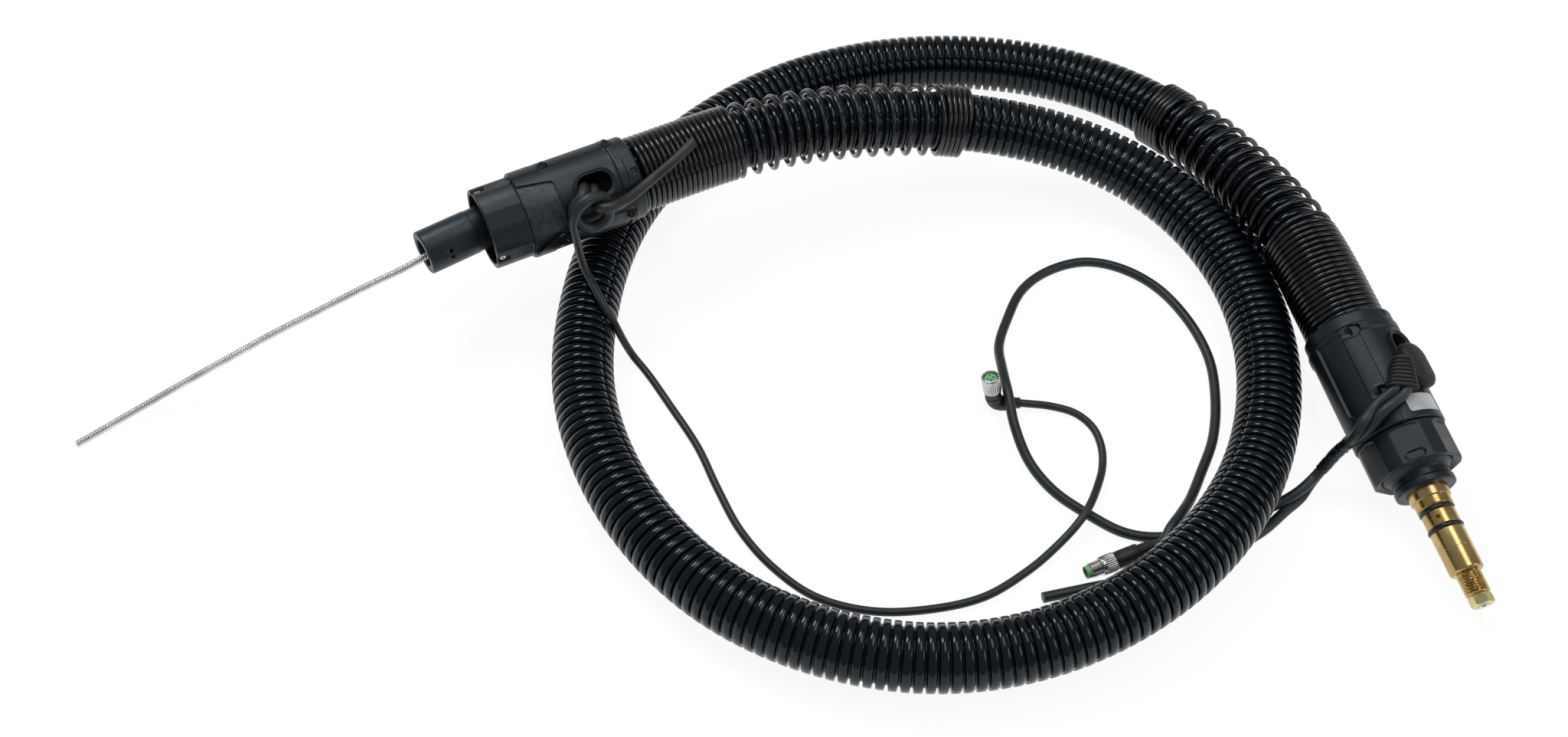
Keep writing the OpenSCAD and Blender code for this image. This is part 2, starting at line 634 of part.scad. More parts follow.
// Round ring with six grip flats, one of them towards +Z before it is turned about the axis
module grip_ring(x0, x1, across, outside_d, turn) {
    intersection() {
        rod_x(x0, x1, outside_d / 2);
        translate([x0, 0, 0]) rotate([turn, 0, 0]) rotate([0, 90, 0]) rotate([0, 0, 30])
            cylinder(h = x1 - x0, d = across / cos(30), $fn = 6);
    }
}

// ---- Torch end ----
module torch_port_shell() {
    color([0.06, 0.06, 0.07]) at_torch_end() rotate([torch_roll, 0, 0]) port_shell(true);
}

module torch_back_shell() {
    color([0.06, 0.06, 0.07]) at_torch_end() rotate([torch_roll, 0, 0]) back_shell();
}

module torch_shell_screws() {
    color([0.25, 0.25, 0.26]) at_torch_end() rotate([torch_roll, 0, 0]) shell_screws();
}

module torch_port_rim() {
    color([0.03, 0.03, 0.03]) at_torch_end() rotate([torch_roll, 0, 0]) port_rim();
}

module torch_end_ring() {
    head_x = shell_len + seat_gap;
    color([0.07, 0.07, 0.08]) at_torch_end() rotate([torch_roll, 0, 0]) difference() {
        union() {
            grip_ring(head_x, ring_front_x, ring_flats, ring_d, 0);
            rod_x(scoop_x - 7, head_x + eps, sleeve_r);
        }
        rod_x(scoop_x - 8, ring_front_x - mouth_len, sleeve_r - sleeve_wall_t);
        rod_x(scoop_x - 8, ring_front_x + eps, sleeve_r - sleeve_wall_t - ring_lip);
        for (y = [-1, 1]) translate([front_screw_x, y * (screw_y + 6), 0])
            cube([2 * screw_boss_r + 2, 12 + 2 * screw_boss_r + 1, 3 * land_r], center = true);
        for (a = [-1, 1] * set_screw_angle) rotate([-a, 0, 0]) translate([set_screw_x, 0, 0]) {
            cylinder(d = set_screw_d + 2 * running_gap, h = 2 * land_r);
            translate([-2.4, -2.4, ring_d / 2 - 1.6]) cube([2.4 + ring_len, 4.8, 4]);
        }
    }
}

module torch_ring_set_screws() {
    top = ring_d / 2 - 1.2;
    color([0.7, 0.7, 0.72]) at_torch_end() rotate([torch_roll, 0, 0])
        for (a = [-1, 1] * set_screw_angle) rotate([-a, 0, 0]) translate([set_screw_x, 0, top - 3.2])
            difference() {
                cylinder(d = set_screw_d, h = 3.2);
                translate([0, 0, 2]) cylinder(d = set_screw_d / 2, h = 3, $fn = 6);
            }
}

module torch_barrel() {
    chamfer = 0.8;
    hole_x = 12;
    hole_d = 2.4;
    color([0.1, 0.11, 0.12]) at_barrel() difference() {
        union() {
            rod_x(-barrel_len, -clamp_len + eps, barrel_d / 2 - clamp_step);
            rod_x(-clamp_len, -chamfer, barrel_d / 2);
            translate([-chamfer, 0, 0]) rotate([0, 90, 0])
                cylinder(h = chamfer, r1 = barrel_d / 2, r2 = barrel_d / 2 - chamfer);
        }
        rod_x(-barrel_bore_len, eps, barrel_bore_d / 2);
        rod_x(-barrel_len - eps, 0, liner_d / 2 + seat_gap);
        for (a = [-67, -86]) rotate([a, 0, 0]) translate([-hole_x, 0, 0])
            cylinder(d = hole_d, h = barrel_d);
    }
}

module torch_cable_ferrule() {
    color([0.6, 0.6, 0.62]) at_barrel() difference() {
        rod_x(torch_ferrule_rear, -barrel_len, torch_ferrule_d / 2);
        rod_x(torch_ferrule_rear - eps, -barrel_len + eps, liner_d / 2 + seat_gap);
    }
}

module wire_liner() {
    color([0.75, 0.75, 0.78])
        solid_tube(point_rings(concat([barrel_axis(-barrel_bore_len)], liner_points), liner_d / 2, sides),
            sides);
}

module sensor_cable() {
    color([0.16, 0.16, 0.17]) solid_tube(point_rings(sensor_route, sensor_cable_d / 2, sides), sides);
}

module rubber_tube() {
    color([0.14, 0.14, 0.15]) solid_tube(point_rings(tube_route, rubber_tube_d / 2, sides), sides);
}

// ---- Feeder end ----
module feeder_port_shell() {
    color([0.06, 0.06, 0.07]) at_feeder_end() rotate([feeder_roll, 0, 0]) port_shell(false);
}

module feeder_back_shell() {
    color([0.06, 0.06, 0.07]) at_feeder_end() rotate([feeder_roll, 0, 0]) back_shell();
}

module feeder_shell_screws() {
    color([0.25, 0.25, 0.26]) at_feeder_end() rotate([feeder_roll, 0, 0]) shell_screws();
}

module feeder_port_rim() {
    color([0.03, 0.03, 0.03]) at_feeder_end() rotate([feeder_roll, 0, 0]) port_rim();
}

// Blank label bent round the port shell, between the cap and the front edge
module feeder_label() {
    label_x = [shell_len - 13.2, shell_len - 3.2];
    label_t = 0.2;
    color([0.85, 0.86, 0.86]) at_feeder_end() rotate([feeder_roll, 0, 0])
        along_x(label_x[0], label_x[1]) intersection() {
            difference() {
                circle(r = panel_r + label_t);
                circle(r = panel_r);
            }
            union() {
                land_sector([-36, 0]);
                land_sector([0, 12]);
            }
        }
}

// Rubber cap on the port: it sits a little forward of the port, with a neck down into it
cap_x = 37.5;
cap_len = 26;
cap_w = 17;
cap_base_z = land_r + push_gap;
cap_h = 3.6;
cap_top_h = 1.8;
neck_len = 12;
module port_cap() {
    neck_x = port_x + (port_len - neck_len) / 2 - push_gap;
    color([0.05, 0.05, 0.05]) at_feeder_end() rotate([feeder_roll, 0, 0]) {
        translate([neck_x, 0, cavity_r - 2])
            linear_extrude(cap_base_z - cavity_r + 2 + eps) oval(neck_len, port_w - 2 * push_gap);
        translate([cap_x, 0, cap_base_z]) linear_extrude(cap_h + eps) oval(cap_len, cap_w);
        translate([cap_x, 0, cap_base_z + cap_h]) linear_extrude(cap_top_h) oval(cap_len - 4, cap_w - 4);
    }
}

// Flat ribbed strain relief that leaves the cap along the housing and widens to its mouth
relief_from = [35, -12.2, land_r + 2.2];
relief_to = [50.7, -17.2, land_r - 2];
relief_turn = 37;
relief_w = [10, 16];
relief_h = [8.6, 7.6];
relief_ribs = 8;
module strain_relief() {
    reach = relief_to - relief_from;
    length = norm(reach);
    pitch = length / relief_ribs;
    groove = 1.2;
    color([0.06, 0.06, 0.06]) at_feeder_end() rotate([feeder_roll, 0, 0]) translate(relief_from)
        rotate([0, acos(reach.z / length), atan2(reach.y, reach.x)]) rotate([0, 0, 90 + relief_turn]) {
            linear_extrude(length) oval(relief_w[0] - groove, relief_h[1] - groove);
            for (i = [0:relief_ribs - 1]) {
                share = i / (relief_ribs - 1);
                translate([0, 0, (i + 0.4) * pitch]) linear_extrude(pitch * 0.6) oval(
                    relief_w[0] + share * (relief_w[1] - relief_w[0]),
                    relief_h[0] + share * (relief_h[1] - relief_h[0]));
            }
        }
}

module coupling_nut() {
    recess_w = 9.6;
    recess_len = 4.6;
    turn = 22;
    color([0.06, 0.06, 0.07]) at_feeder_end() difference() {
        grip_ring(nut_x, nut_front_x, nut_flats, ring_d, turn);
        rod_x(nut_x - eps, nut_front_x + eps, nut_bore_d / 2);
        rod_x(catch_x - seat_gap, catch_x + catch_w + seat_gap, nut_bore_d / 2 + catch_h);
        rotate([turn, 0, 0])
            translate([nut_front_x - recess_len - 1.6, -recess_w / 2, nut_flats / 2 - 1])
                cube([recess_len, recess_w, 3]);
    }
}

module pin_collar() {
    color([0.08, 0.08, 0.09]) at_feeder_end() difference() {
        union() {
            rod_x(collar_tail_x, shell_len, cavity_r - push_gap);
            rod_x(shell_len - eps, nut_front_x - nut_recess, flange_r);
            rod_x(catch_x, catch_x + catch_w, flange_r + catch_h);
            rod_x(nut_front_x - nut_recess - eps, collar_x, collar_d / 2);
        }
        rod_x(pin_rear_x - 4, collar_x + eps, pin_root_d / 2 + push_gap);
        rod_x(collar_tail_x - eps, pin_rear_x + pin_flange_len + push_gap, pin_flange_r + push_gap);
    }
}

// Brass power pin: rear flange, two steps, two O-ring grooves, seat and thread
module power_pin() {
    step_x = collar_x + 5;
    seat_x = collar_x + 9.4;
    groove_w = o_ring_section + 0.7;
    groove_r = pin_d / 2 + 0.6 - o_ring_section;
    chamfer = 1;
    color([0.75, 0.6, 0.25]) at_feeder_end() difference() {
        union() {
            rod_x(pin_rear_x, pin_rear_x + pin_flange_len, pin_flange_r);
            rod_x(pin_rear_x, step_x, pin_root_d / 2);
            rod_x(step_x - eps, seat_x, pin_step_d / 2);
            rod_x(seat_x - eps, pin_shoulder_x, pin_d / 2);
            rod_x(pin_shoulder_x - eps, pin_front_x - chamfer, thread_d / 2);
            translate([pin_front_x - chamfer - eps, 0, 0]) rotate([0, 90, 0])
                cylinder(h = chamfer, r1 = thread_d / 2, r2 = thread_d / 2 - chamfer);
        }
        rod_x(pin_rear_x - eps, pin_front_x, pin_bore_r);
        rod_x(pin_front_x - screw_bore_len, pin_front_x + eps, liner_screw_d / 2 + running_gap);
        for (i = [0, 1]) translate([collar_x + o_ring_x + i * o_ring_gap, 0, 0]) difference() {
            rod_x(-groove_w / 2, groove_w / 2, pin_d);
            rod_x(-groove_w / 2 - eps, groove_w / 2 + eps, groove_r);
        }
        for (a = [35, -85, 155]) rotate([a, 0, 0]) translate([collar_x + o_ring_x + o_ring_gap / 2, 0, 0])
            cylinder(d = 2, h = pin_d);
    }
}

module pin_o_rings() {
    centre_r = pin_d / 2 + 0.6 - o_ring_section / 2;
    color([0.03, 0.03, 0.03]) at_feeder_end()
        for (i = [0, 1]) translate([collar_x + o_ring_x + i * o_ring_gap, 0, 0]) rotate([0, 90, 0])
            rotate_extrude() translate([centre_r, 0]) circle(d = o_ring_section - 2 * eps, $fn = 24);
}

// Hexagon-headed screw that holds the wire liner in the pin
module liner_screw() {
    color([0.7, 0.68, 0.3]) at_feeder_end() difference() {
        union() {
            translate([pin_front_x + push_gap, 0, 0]) rotate([0, 90, 0])
                cylinder(h = hex_len, d = hex_flats / cos(30), $fn = 6);
            rod_x(pin_front_x - liner_screw_len, pin_front_x + push_gap + eps, liner_screw_d / 2);
        }
        rod_x(pin_front_x - liner_screw_len - eps, pin_front_x + hex_len + 1, sleeve_out_r + running_gap);
    }
}

module liner_end_sleeve() {
    color([0.75, 0.75, 0.77]) at_feeder_end() difference() {
        rod_x(pin_front_x - liner_screw_len, pin_front_x + hex_len + 0.4, sleeve_out_r);
        rod_x(pin_front_x - liner_screw_len - eps, pin_front_x + hex_len + 1, sleeve_hole_r);
    }
}

module feeder_cable_ferrule() {
    color([0.6, 0.6, 0.62]) at_feeder_end() difference() {
        rod_x(feeder_ferrule_x, pin_rear_x, feeder_ferrule_d / 2);
        rod_x(feeder_ferrule_x - eps, pin_rear_x + eps, pin_bore_r);
    }
}

module signal_cable() {
    color([0.15, 0.16, 0.17]) solid_tube(point_rings(signal_route, signal_cable_d / 2, sides), sides);
}

module cut_cable() {
    color([0.15, 0.16, 0.17]) solid_tube(point_rings(cut_route, signal_cable_d / 2, sides), sides);
}

// Oval ring of the wrap round both cables where they lie one on the other
wrap_points = 6;
function wrap_ring(i, r) =
    let (apart = signal_route[i] - cut_route[i], mid = (signal_route[i] + cut_route[i]) / 2,
        way = signal_route[i + 1] - signal_route[i - 1], up = unit(apart), across = unit(cross(way, up)))
    [for (end = [1, -1], j = [0:wrap_points - 1])
        let (a = 180 * j / (wrap_points - 1) - 90)
        mid + end * (apart / 2 + r * (cos(a) * up - sin(a) * across))];

module cable_wrap() {
    inner_r = (signal_cable_d / 2 + push_gap) / cos(90 / (wrap_points - 1));
    color([0.02, 0.02, 0.02])
        hollow_tube([for (i = [wrap_first:wrap_last]) wrap_ring(i, inner_r + sleeve_wall)],
            [for (i = [wrap_first:wrap_last]) wrap_ring(i, inner_r)], 2 * wrap_points);
}

// ---- Plugs ----
nut_bore_r = plug_thread_d / 2;
module at_angled_plug() {
    translate(angled_plug_at) rotate([0, angled_plug_lean, angled_plug_azimuth]) children();
}

// Right-angled body: the leg to the cable lies flat, the stem leans up to the nut
stem_len = 9;
angled_nut_len = 10.5;
module angled_plug_body() {
    leg_len = 8.5;
    grip_len = 14;
    color([0.1, 0.1, 0.1]) {
        translate(angled_plug_at) {
            sphere(d = plug_body_d + 0.2);
            rod_x(0, leg_len, plug_body_d / 2 - 0.4);
            rod_x(0, grip_len, sensor_cable_d / 2 + 1);
        }
        at_angled_plug() {
            cylinder(d = plug_body_d, h = stem_len);
            cylinder(d = plug_thread_d - 1, h = stem_len + 1.5);
        }
    }
}

module knurled_nut(length, bore_r) {
    ribs = 24;
    difference() {
        cylinder(d = plug_nut_d, h = length);
        translate([0, 0, -eps]) cylinder(r = bore_r, h = length + 2 * eps);
        for (i = [0:ribs - 1]) rotate([0, 0, i * 360 / ribs])
            translate([plug_nut_d / 2, 0, -eps]) cylinder(d = 0.6, h = length * 0.7, $fn = 4);
    }
}

module angled_plug_nut() {
    color([0.6, 0.62, 0.6]) at_angled_plug() translate([0, 0, stem_len + 0.2])
        knurled_nut(angled_nut_len, plug_thread_d / 2 - 0.5 + running_gap);
}

contact_ring = 1.6;
module contact_spots() {
    for (a = [45:90:315]) rotate([0, 0, a]) translate([contact_ring, 0, 0]) children();
}

module angled_plug_carrier() {
    top = stem_len + angled_nut_len - 0.8;
    color([0.35, 0.75, 0.4]) at_angled_plug() translate([0, 0, stem_len + 1.5]) difference() {
        cylinder(d = carrier_d, h = top - stem_len - 1.5);
        contact_spots() translate([0, 0, 4]) cylinder(d = contact_d + 2 * push_gap, h = 20);
    }
}

module at_straight_plug() {
    translate(straight_plug_at) rotate([0, straight_plug_dip, straight_plug_yaw]) children();
}

grip_x = 8;
body_x = 20.5;
screw_x = 21;
screw_knurl_len = 8;
screw_thread_len = 6;
carrier_front_x = screw_x + screw_knurl_len + screw_thread_len + 2.2;
module straight_plug_body() {
    color([0.08, 0.08, 0.09]) at_straight_plug() {
        rod_x(0, grip_x + eps, signal_cable_d / 2 + 1);
        rod_x(grip_x, body_x, plug_body_d / 2);
        rod_x(body_x - eps, screw_x + screw_knurl_len - 2, plug_thread_d / 2 - 1);
    }
}

module straight_plug_screw() {
    inner_r = plug_thread_d / 2 - 1 + running_gap;
    color([0.6, 0.62, 0.6]) at_straight_plug() translate([screw_x, 0, 0]) rotate([0, 90, 0]) difference() {
        union() {
            knurled_nut(screw_knurl_len, inner_r);
            difference() {
                translate([0, 0, screw_knurl_len - 1]) cylinder(d = plug_thread_d, h = screw_thread_len + 1);
                cylinder(r = inner_r, h = 2 * screw_knurl_len + screw_thread_len);
            }
        }
        translate([0, 0, screw_knurl_len - 2])
            cylinder(d = carrier_d + 2 * running_gap, h = screw_thread_len + 4);
    }
}

carrier_x = screw_x + screw_knurl_len - 2;
carrier_floor = 5;
module straight_plug_carrier() {
    color([0.35, 0.75, 0.4]) at_straight_plug() translate([carrier_x, 0, 0]) rotate([0, 90, 0]) difference() {
        cylinder(d = carrier_d, h = carrier_front_x - carrier_x);
        translate([0, 0, carrier_floor]) cylinder(d = carrier_d - 1.2, h = 20);
        contact_spots() translate([0, 0, 1]) cylinder(d = contact_d + 2 * running_gap, h = 20);
    }
}

module straight_plug_pins() {
    color([0.8, 0.7, 0.35]) at_straight_plug() translate([carrier_x + 1, 0, 0]) rotate([0, 90, 0])
        contact_spots() cylinder(d = contact_d, h = carrier_front_x - carrier_x - 2);
}

hose();
torch_spring();
feeder_spring();
power_cable();
liner_core();
control_core();
torch_port_shell();
torch_back_shell();
torch_shell_screws();
torch_port_rim();
torch_end_ring();
torch_ring_set_screws();
torch_barrel();
torch_cable_ferrule();
wire_liner();
sensor_cable();
rubber_tube();
feeder_port_shell();
feeder_back_shell();
feeder_shell_screws();
feeder_port_rim();
feeder_label();
port_cap();
strain_relief();
coupling_nut();
pin_collar();
power_pin();
pin_o_rings();
liner_screw();
liner_end_sleeve();
feeder_cable_ferrule();
signal_cable();
cut_cable();
cable_wrap();
angled_plug_body();
angled_plug_nut();
angled_plug_carrier();
straight_plug_body();
straight_plug_screw();
straight_plug_carrier();
straight_plug_pins();
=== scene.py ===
# Robot MIG torch cable assembly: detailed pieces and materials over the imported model.
import math
import bmesh
import bpy
import numpy as np
from mathutils import Matrix, Vector, noise


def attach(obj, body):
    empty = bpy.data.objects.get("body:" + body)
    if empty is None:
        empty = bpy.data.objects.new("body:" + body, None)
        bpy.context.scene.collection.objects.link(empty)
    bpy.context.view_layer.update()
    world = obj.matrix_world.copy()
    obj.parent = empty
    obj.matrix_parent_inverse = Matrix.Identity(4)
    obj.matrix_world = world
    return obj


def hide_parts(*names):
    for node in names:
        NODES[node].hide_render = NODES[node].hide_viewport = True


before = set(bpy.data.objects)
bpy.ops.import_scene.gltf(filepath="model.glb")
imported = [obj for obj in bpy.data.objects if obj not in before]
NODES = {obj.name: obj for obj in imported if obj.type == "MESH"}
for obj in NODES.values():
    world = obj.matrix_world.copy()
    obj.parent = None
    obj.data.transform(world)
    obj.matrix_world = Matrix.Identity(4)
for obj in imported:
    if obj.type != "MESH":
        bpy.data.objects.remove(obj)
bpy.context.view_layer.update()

MM = 0.001
TAU = 2 * math.pi


# ---- Camera, floor and lights ----
def look(obj, at, target):
    obj.location = at
    obj.rotation_euler = (Vector(target) - Vector(at)).to_track_quat("-Z", "Y").to_euler()


def added(name, data):
    """New object of the scene, from a mesh, a light or a camera."""
    obj = bpy.data.objects.new(name, data)
    bpy.context.scene.collection.objects.link(obj)
    return obj


camera = added("photo_camera", bpy.data.cameras.new("photo_camera"))
camera.location = (0.014, -0.547, 0.6638)
camera.rotation_euler = (math.radians(38.3), 0, 0)
camera.data.lens = 35.58
camera.data.sensor_width = 36
camera.data.clip_start = 0.01
bpy.context.scene.camera = camera
bpy.context.scene.view_settings.view_transform = "Standard"


def softbox(name, at, target, size, watts, tint=(1, 1, 1)):
    data = bpy.data.lights.new(name, "AREA")
    data.shape = "RECTANGLE"
    data.size, data.size_y = size
    data.energy = watts
    data.color = tint
    look(added(name, data), at, target)


softbox("key", (-0.55, 0.75, 1.5), (0, 0, 0), (0.55, 0.4), 9)
softbox("top", (0.35, 0.1, 1.7), (0, 0, 0), (0.9, 0.7), 6)
softbox("side", (1.5, -0.5, 0.9), (0.1, 0, 0), (0.7, 0.7), 3.5)


# ---- Materials ----
def graph(name):
    made = bpy.data.materials.new(name)
    made.use_nodes = True
    tree = made.node_tree
    shader = next(n for n in tree.nodes if n.type == "BSDF_PRINCIPLED")
    return made, tree, shader


def add(tree, kind, **inputs):
    n = tree.nodes.new(kind)
    for key, value in inputs.items():
        n.inputs[key.replace("_", " ")].default_value = value
    return n


def noise_of(tree, source, scale, detail=4.0, rough=0.55):
    n = add(tree, "ShaderNodeTexNoise", Scale=scale, Detail=detail, Roughness=rough)
    tree.links.new(source, n.inputs["Vector"])
    return n.outputs["Fac"]


def mapped(tree, source, low, high, to_low, to_high):
    n = tree.nodes.new("ShaderNodeMapRange")
    ends = {"From Min": low, "From Max": high, "To Min": to_low, "To Max": to_high}
    for key, value in ends.items():
        n.inputs[key].default_value = value
    tree.links.new(source, n.inputs["Value"])
    return n.outputs["Result"]


def fed(tree, socket, value):
    """Links a socket to another's output, or sets it where value is a plain one."""
    if hasattr(value, "is_linked"):
        tree.links.new(value, socket)
    else:
        socket.default_value = value


def reckoned(tree, operation, a, b):
    n = tree.nodes.new("ShaderNodeMath")
    n.operation = operation
    fed(tree, n.inputs[0], a)
    fed(tree, n.inputs[1], b)
    return n.outputs[0]


def blended(tree, fac, a, b):
    """Mix of two colours, each a socket or three numbers."""
    n = tree.nodes.new("ShaderNodeMix")
    n.data_type = "RGBA"
    tree.links.new(fac, n.inputs["Factor"])
    for at, value in ((6, a), (7, b)):
        fed(tree, n.inputs[at], value if hasattr(value, "is_linked") else (*value, 1))
    return n.outputs[2]


def bumped(tree, shader, parts):
    """Bumps one after another: parts are (height, strength, distance in metres)."""
    last = None
    for height, strength, distance in parts:
        n = add(tree, "ShaderNodeBump", Strength=strength, Distance=distance)
        tree.links.new(height, n.inputs["Height"])
        if last is not None:
            tree.links.new(last, n.inputs["Normal"])
        last = n.outputs["Normal"]
    tree.links.new(last, shader.inputs["Normal"])


# Bluish reflections of the black mouldings, and the depths in metres of two kinds of bump
COOL = (0.8, 0.92, 1.0)
LATHE_DEPTH, WEAVE_DEPTH = 0.00012, 0.0001


def finish_of(name, dark, light, rough, grain, metal=0.0, edge_wear_and_glint=None, patch=55.0, gloss=0.5,
              turned=None, weave=None, tint=(1, 1, 1)):
    """Procedural finish, mottled from dark to light in patches of the scale patch.

    rough is (least, most), grain is (scale, strength, metres), the edge colour is (colour, start,
    end) on convex edges, partly real wear and partly a painted highlight along the edges, turned is
    (scale, strength) of lathe marks along x, weave is (scale, strength) of fine lines, and gloss
    and tint are the level and colour of the reflections."""
    made, tree, shader = graph(name)
    coords = tree.nodes.new("ShaderNodeTexCoord").outputs["Object"]
    large = noise_of(tree, coords, patch, 5)
    fine = noise_of(tree, coords, grain[0], 3, 0.6)
    colour = blended(tree, mapped(tree, large, 0.3, 0.7, 0, 1), dark, light)
    rough_source = noise_of(tree, coords, patch * 2.7, 6, 0.65)
    bumps = [(fine, grain[1], grain[2])]
    if turned:
        x = tree.nodes.new("ShaderNodeSeparateXYZ")
        tree.links.new(coords, x.inputs[0])
        marks = add(tree, "ShaderNodeTexNoise", Scale=turned[0], Detail=6.0, Roughness=0.7)
        marks.noise_dimensions = "1D"
        tree.links.new(x.outputs[0], marks.inputs["W"])
        bumps.append((marks.outputs["Fac"], turned[1], LATHE_DEPTH))
        rough_source = marks.outputs["Fac"]
    if weave:
        wave = add(tree, "ShaderNodeTexWave", Scale=weave[0], Distortion=1.5, Detail=2.0)
        tree.links.new(coords, wave.inputs["Vector"])
        bumps.append((wave.outputs["Fac"], weave[1], WEAVE_DEPTH))
    if edge_wear_and_glint:
        # Lighter colour on convex edges, broken up by noise: partly real wear and partly a painted
        # highlight along the edges
        edge = tree.nodes.new("ShaderNodeNewGeometry").outputs["Pointiness"]
        edges = mapped(tree, edge, edge_wear_and_glint[1], edge_wear_and_glint[2], 0, 1)
        chips = mapped(tree, noise_of(tree, coords, 420, 5), 0.35, 0.65, 0.25, 1)
        colour = blended(tree, reckoned(tree, "MULTIPLY", edges, chips), colour, edge_wear_and_glint[0])
    tree.links.new(colour, shader.inputs["Base Color"])
    tree.links.new(mapped(tree, rough_source, 0.3, 0.7, *rough), shader.inputs["Roughness"])
    shader.inputs["Metallic"].default_value = metal
    shader.inputs["Specular IOR Level"].default_value = gloss
    shader.inputs["Specular Tint"].default_value = (*tint, 1)
    bumped(tree, shader, bumps)
    return made


hose_finish = finish_of(
    "hose_black", (0.0018, 0.003, 0.0052), (0.004, 0.006, 0.0098), (0.08, 0.18),
    (700, 0.03, 0.0001), edge_wear_and_glint=((0.01, 0.0135, 0.019), 0.56, 0.74), gloss=0.36, tint=COOL)
spring_finish = finish_of(
    "spring_black", (0.0022, 0.0026, 0.0034), (0.006, 0.0066, 0.008), (0.12, 0.24),
    (900, 0.05, 0.0001), gloss=0.6, tint=(0.9, 0.95, 1.0))
shell_finish = finish_of(
    "moulded_black", (0.0042, 0.0062, 0.0088), (0.009, 0.0118, 0.0155), (0.34, 0.48),
    (2600, 0.3, 0.00012), edge_wear_and_glint=((0.09, 0.1, 0.11), 0.53, 0.64), tint=COOL)
rim_finish = finish_of("port_rubber", (0.004, 0.004, 0.005), (0.01, 0.01, 0.011), (0.3, 0.5),
                       (1800, 0.2, 0.0001), edge_wear_and_glint=((0.07, 0.075, 0.08), 0.53, 0.66), tint=COOL)
rubber_finish = finish_of(
    "relief_rubber", (0.008, 0.008, 0.0085), (0.016, 0.016, 0.0165), (0.5, 0.68),
    (2200, 0.28, 0.00014), edge_wear_and_glint=((0.05, 0.048, 0.045), 0.53, 0.66))
cable_finish = finish_of(
    "cable_black", (0.013, 0.0145, 0.016), (0.028, 0.03, 0.032), (0.32, 0.48),
    (1600, 0.2, 0.0001), weave=(900, 0.12), tint=COOL)
tube_finish = finish_of("tube_rubber", (0.012, 0.012, 0.013), (0.025, 0.025, 0.026), (0.4, 0.55),
                        (1500, 0.2, 0.0001))
wrap_finish = finish_of("tape_black", (0.003, 0.004, 0.0055), (0.008, 0.0095, 0.012), (0.08, 0.2),
                        (700, 0.35, 0.0003), tint=COOL)
barrel_finish = finish_of(
    "barrel_black", (0.007, 0.0095, 0.013), (0.015, 0.0185, 0.023), (0.34, 0.5),
    (1800, 0.2, 0.0001), edge_wear_and_glint=((0.16, 0.17, 0.18), 0.54, 0.66), gloss=0.45, tint=COOL)
collar_finish = finish_of(
    "collar_black", (0.006, 0.0075, 0.010), (0.013, 0.0155, 0.019), (0.32, 0.44),
    (2000, 0.15, 0.0001), gloss=0.4, tint=COOL)
brass_finish = finish_of("brass", (0.4, 0.275, 0.105), (0.62, 0.46, 0.2), (0.17, 0.3),
                         (900, 0.03, 0.0001), metal=1.0, turned=(2200, 0.08), patch=70)
hex_finish = finish_of("pale_brass", (0.56, 0.5, 0.23), (0.72, 0.66, 0.34), (0.18, 0.3),
                       (900, 0.03, 0.0001), metal=1.0, patch=80)
steel_finish = finish_of("bright_steel", (0.52, 0.52, 0.54), (0.75, 0.75, 0.77), (0.16, 0.36),
                         (1600, 0.15, 0.0001), metal=1.0, patch=130)
liner_finish = finish_of("liner_steel", (0.55, 0.56, 0.58), (0.8, 0.81, 0.83), (0.2, 0.34),
                         (1500, 0.2, 0.0001), metal=1.0, patch=90)
zinc_finish = finish_of("black_steel", (0.012, 0.012, 0.013), (0.03, 0.03, 0.032), (0.35, 0.55),
                        (1700, 0.2, 0.0001), metal=0.6)
nickel_finish = finish_of("nickel", (0.42, 0.43, 0.41), (0.66, 0.67, 0.64), (0.18, 0.36),
                          (1700, 0.15, 0.0001), metal=1.0, patch=200)
plug_finish = finish_of("plug_black", (0.007, 0.007, 0.008), (0.016, 0.016, 0.018), (0.36, 0.5),
                        (2200, 0.25, 0.0001), edge_wear_and_glint=((0.06, 0.06, 0.06), 0.54, 0.68))
green_finish = finish_of("carrier_green", (0.16, 0.42, 0.2), (0.26, 0.56, 0.3), (0.35, 0.5),
                         (2400, 0.2, 0.0001), patch=200)
gold_finish = finish_of("contact_gold", (0.7, 0.5, 0.16), (0.85, 0.66, 0.28), (0.16, 0.3),
                        (2400, 0.1, 0.0001), metal=1.0)
label_finish = finish_of("label_grey", (0.5, 0.51, 0.52), (0.68, 0.69, 0.7), (0.35, 0.5),
                         (1200, 0.15, 0.0001), patch=120)
ring_finish = finish_of("o_ring_rubber", (0.004, 0.004, 0.004), (0.01, 0.01, 0.01), (0.22, 0.38),
                        (1800, 0.12, 0.0001))
inner_finish = finish_of("inner_cable_grey", (0.05, 0.05, 0.05), (0.09, 0.09, 0.09), (0.5, 0.65),
                         (1500, 0.2, 0.0001))


# ---- Mesh helpers: lengths in millimetres until a piece is made ----
def placed(at, yaw=0.0, tilt=0.0, roll=0.0):
    turn = Matrix.Identity(4)
    for angle, axis in ((yaw, "Z"), (tilt, "Y"), (roll, "X")):
        turn = turn @ Matrix.Rotation(math.radians(angle), 4, axis)
    return Matrix.Translation(Vector(at) * MM) @ turn


def dress(obj, finish, nodes, body="assembly"):
    obj.data.materials.clear()
    obj.data.materials.append(finish)
    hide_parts(*nodes)
    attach(obj, body)
    return obj


def closed_mesh(name, verts, faces):
    """Mesh in metres from vertices in millimetres, with its normals outward."""
    mesh = bpy.data.meshes.new(name)
    mesh.from_pydata((np.asarray(verts, float) * MM).tolist(), [], faces)
    bm = bmesh.new()
    bm.from_mesh(mesh)
    bmesh.ops.recalc_face_normals(bm, faces=bm.faces)
    bm.to_mesh(mesh)
    bm.free()
    return mesh


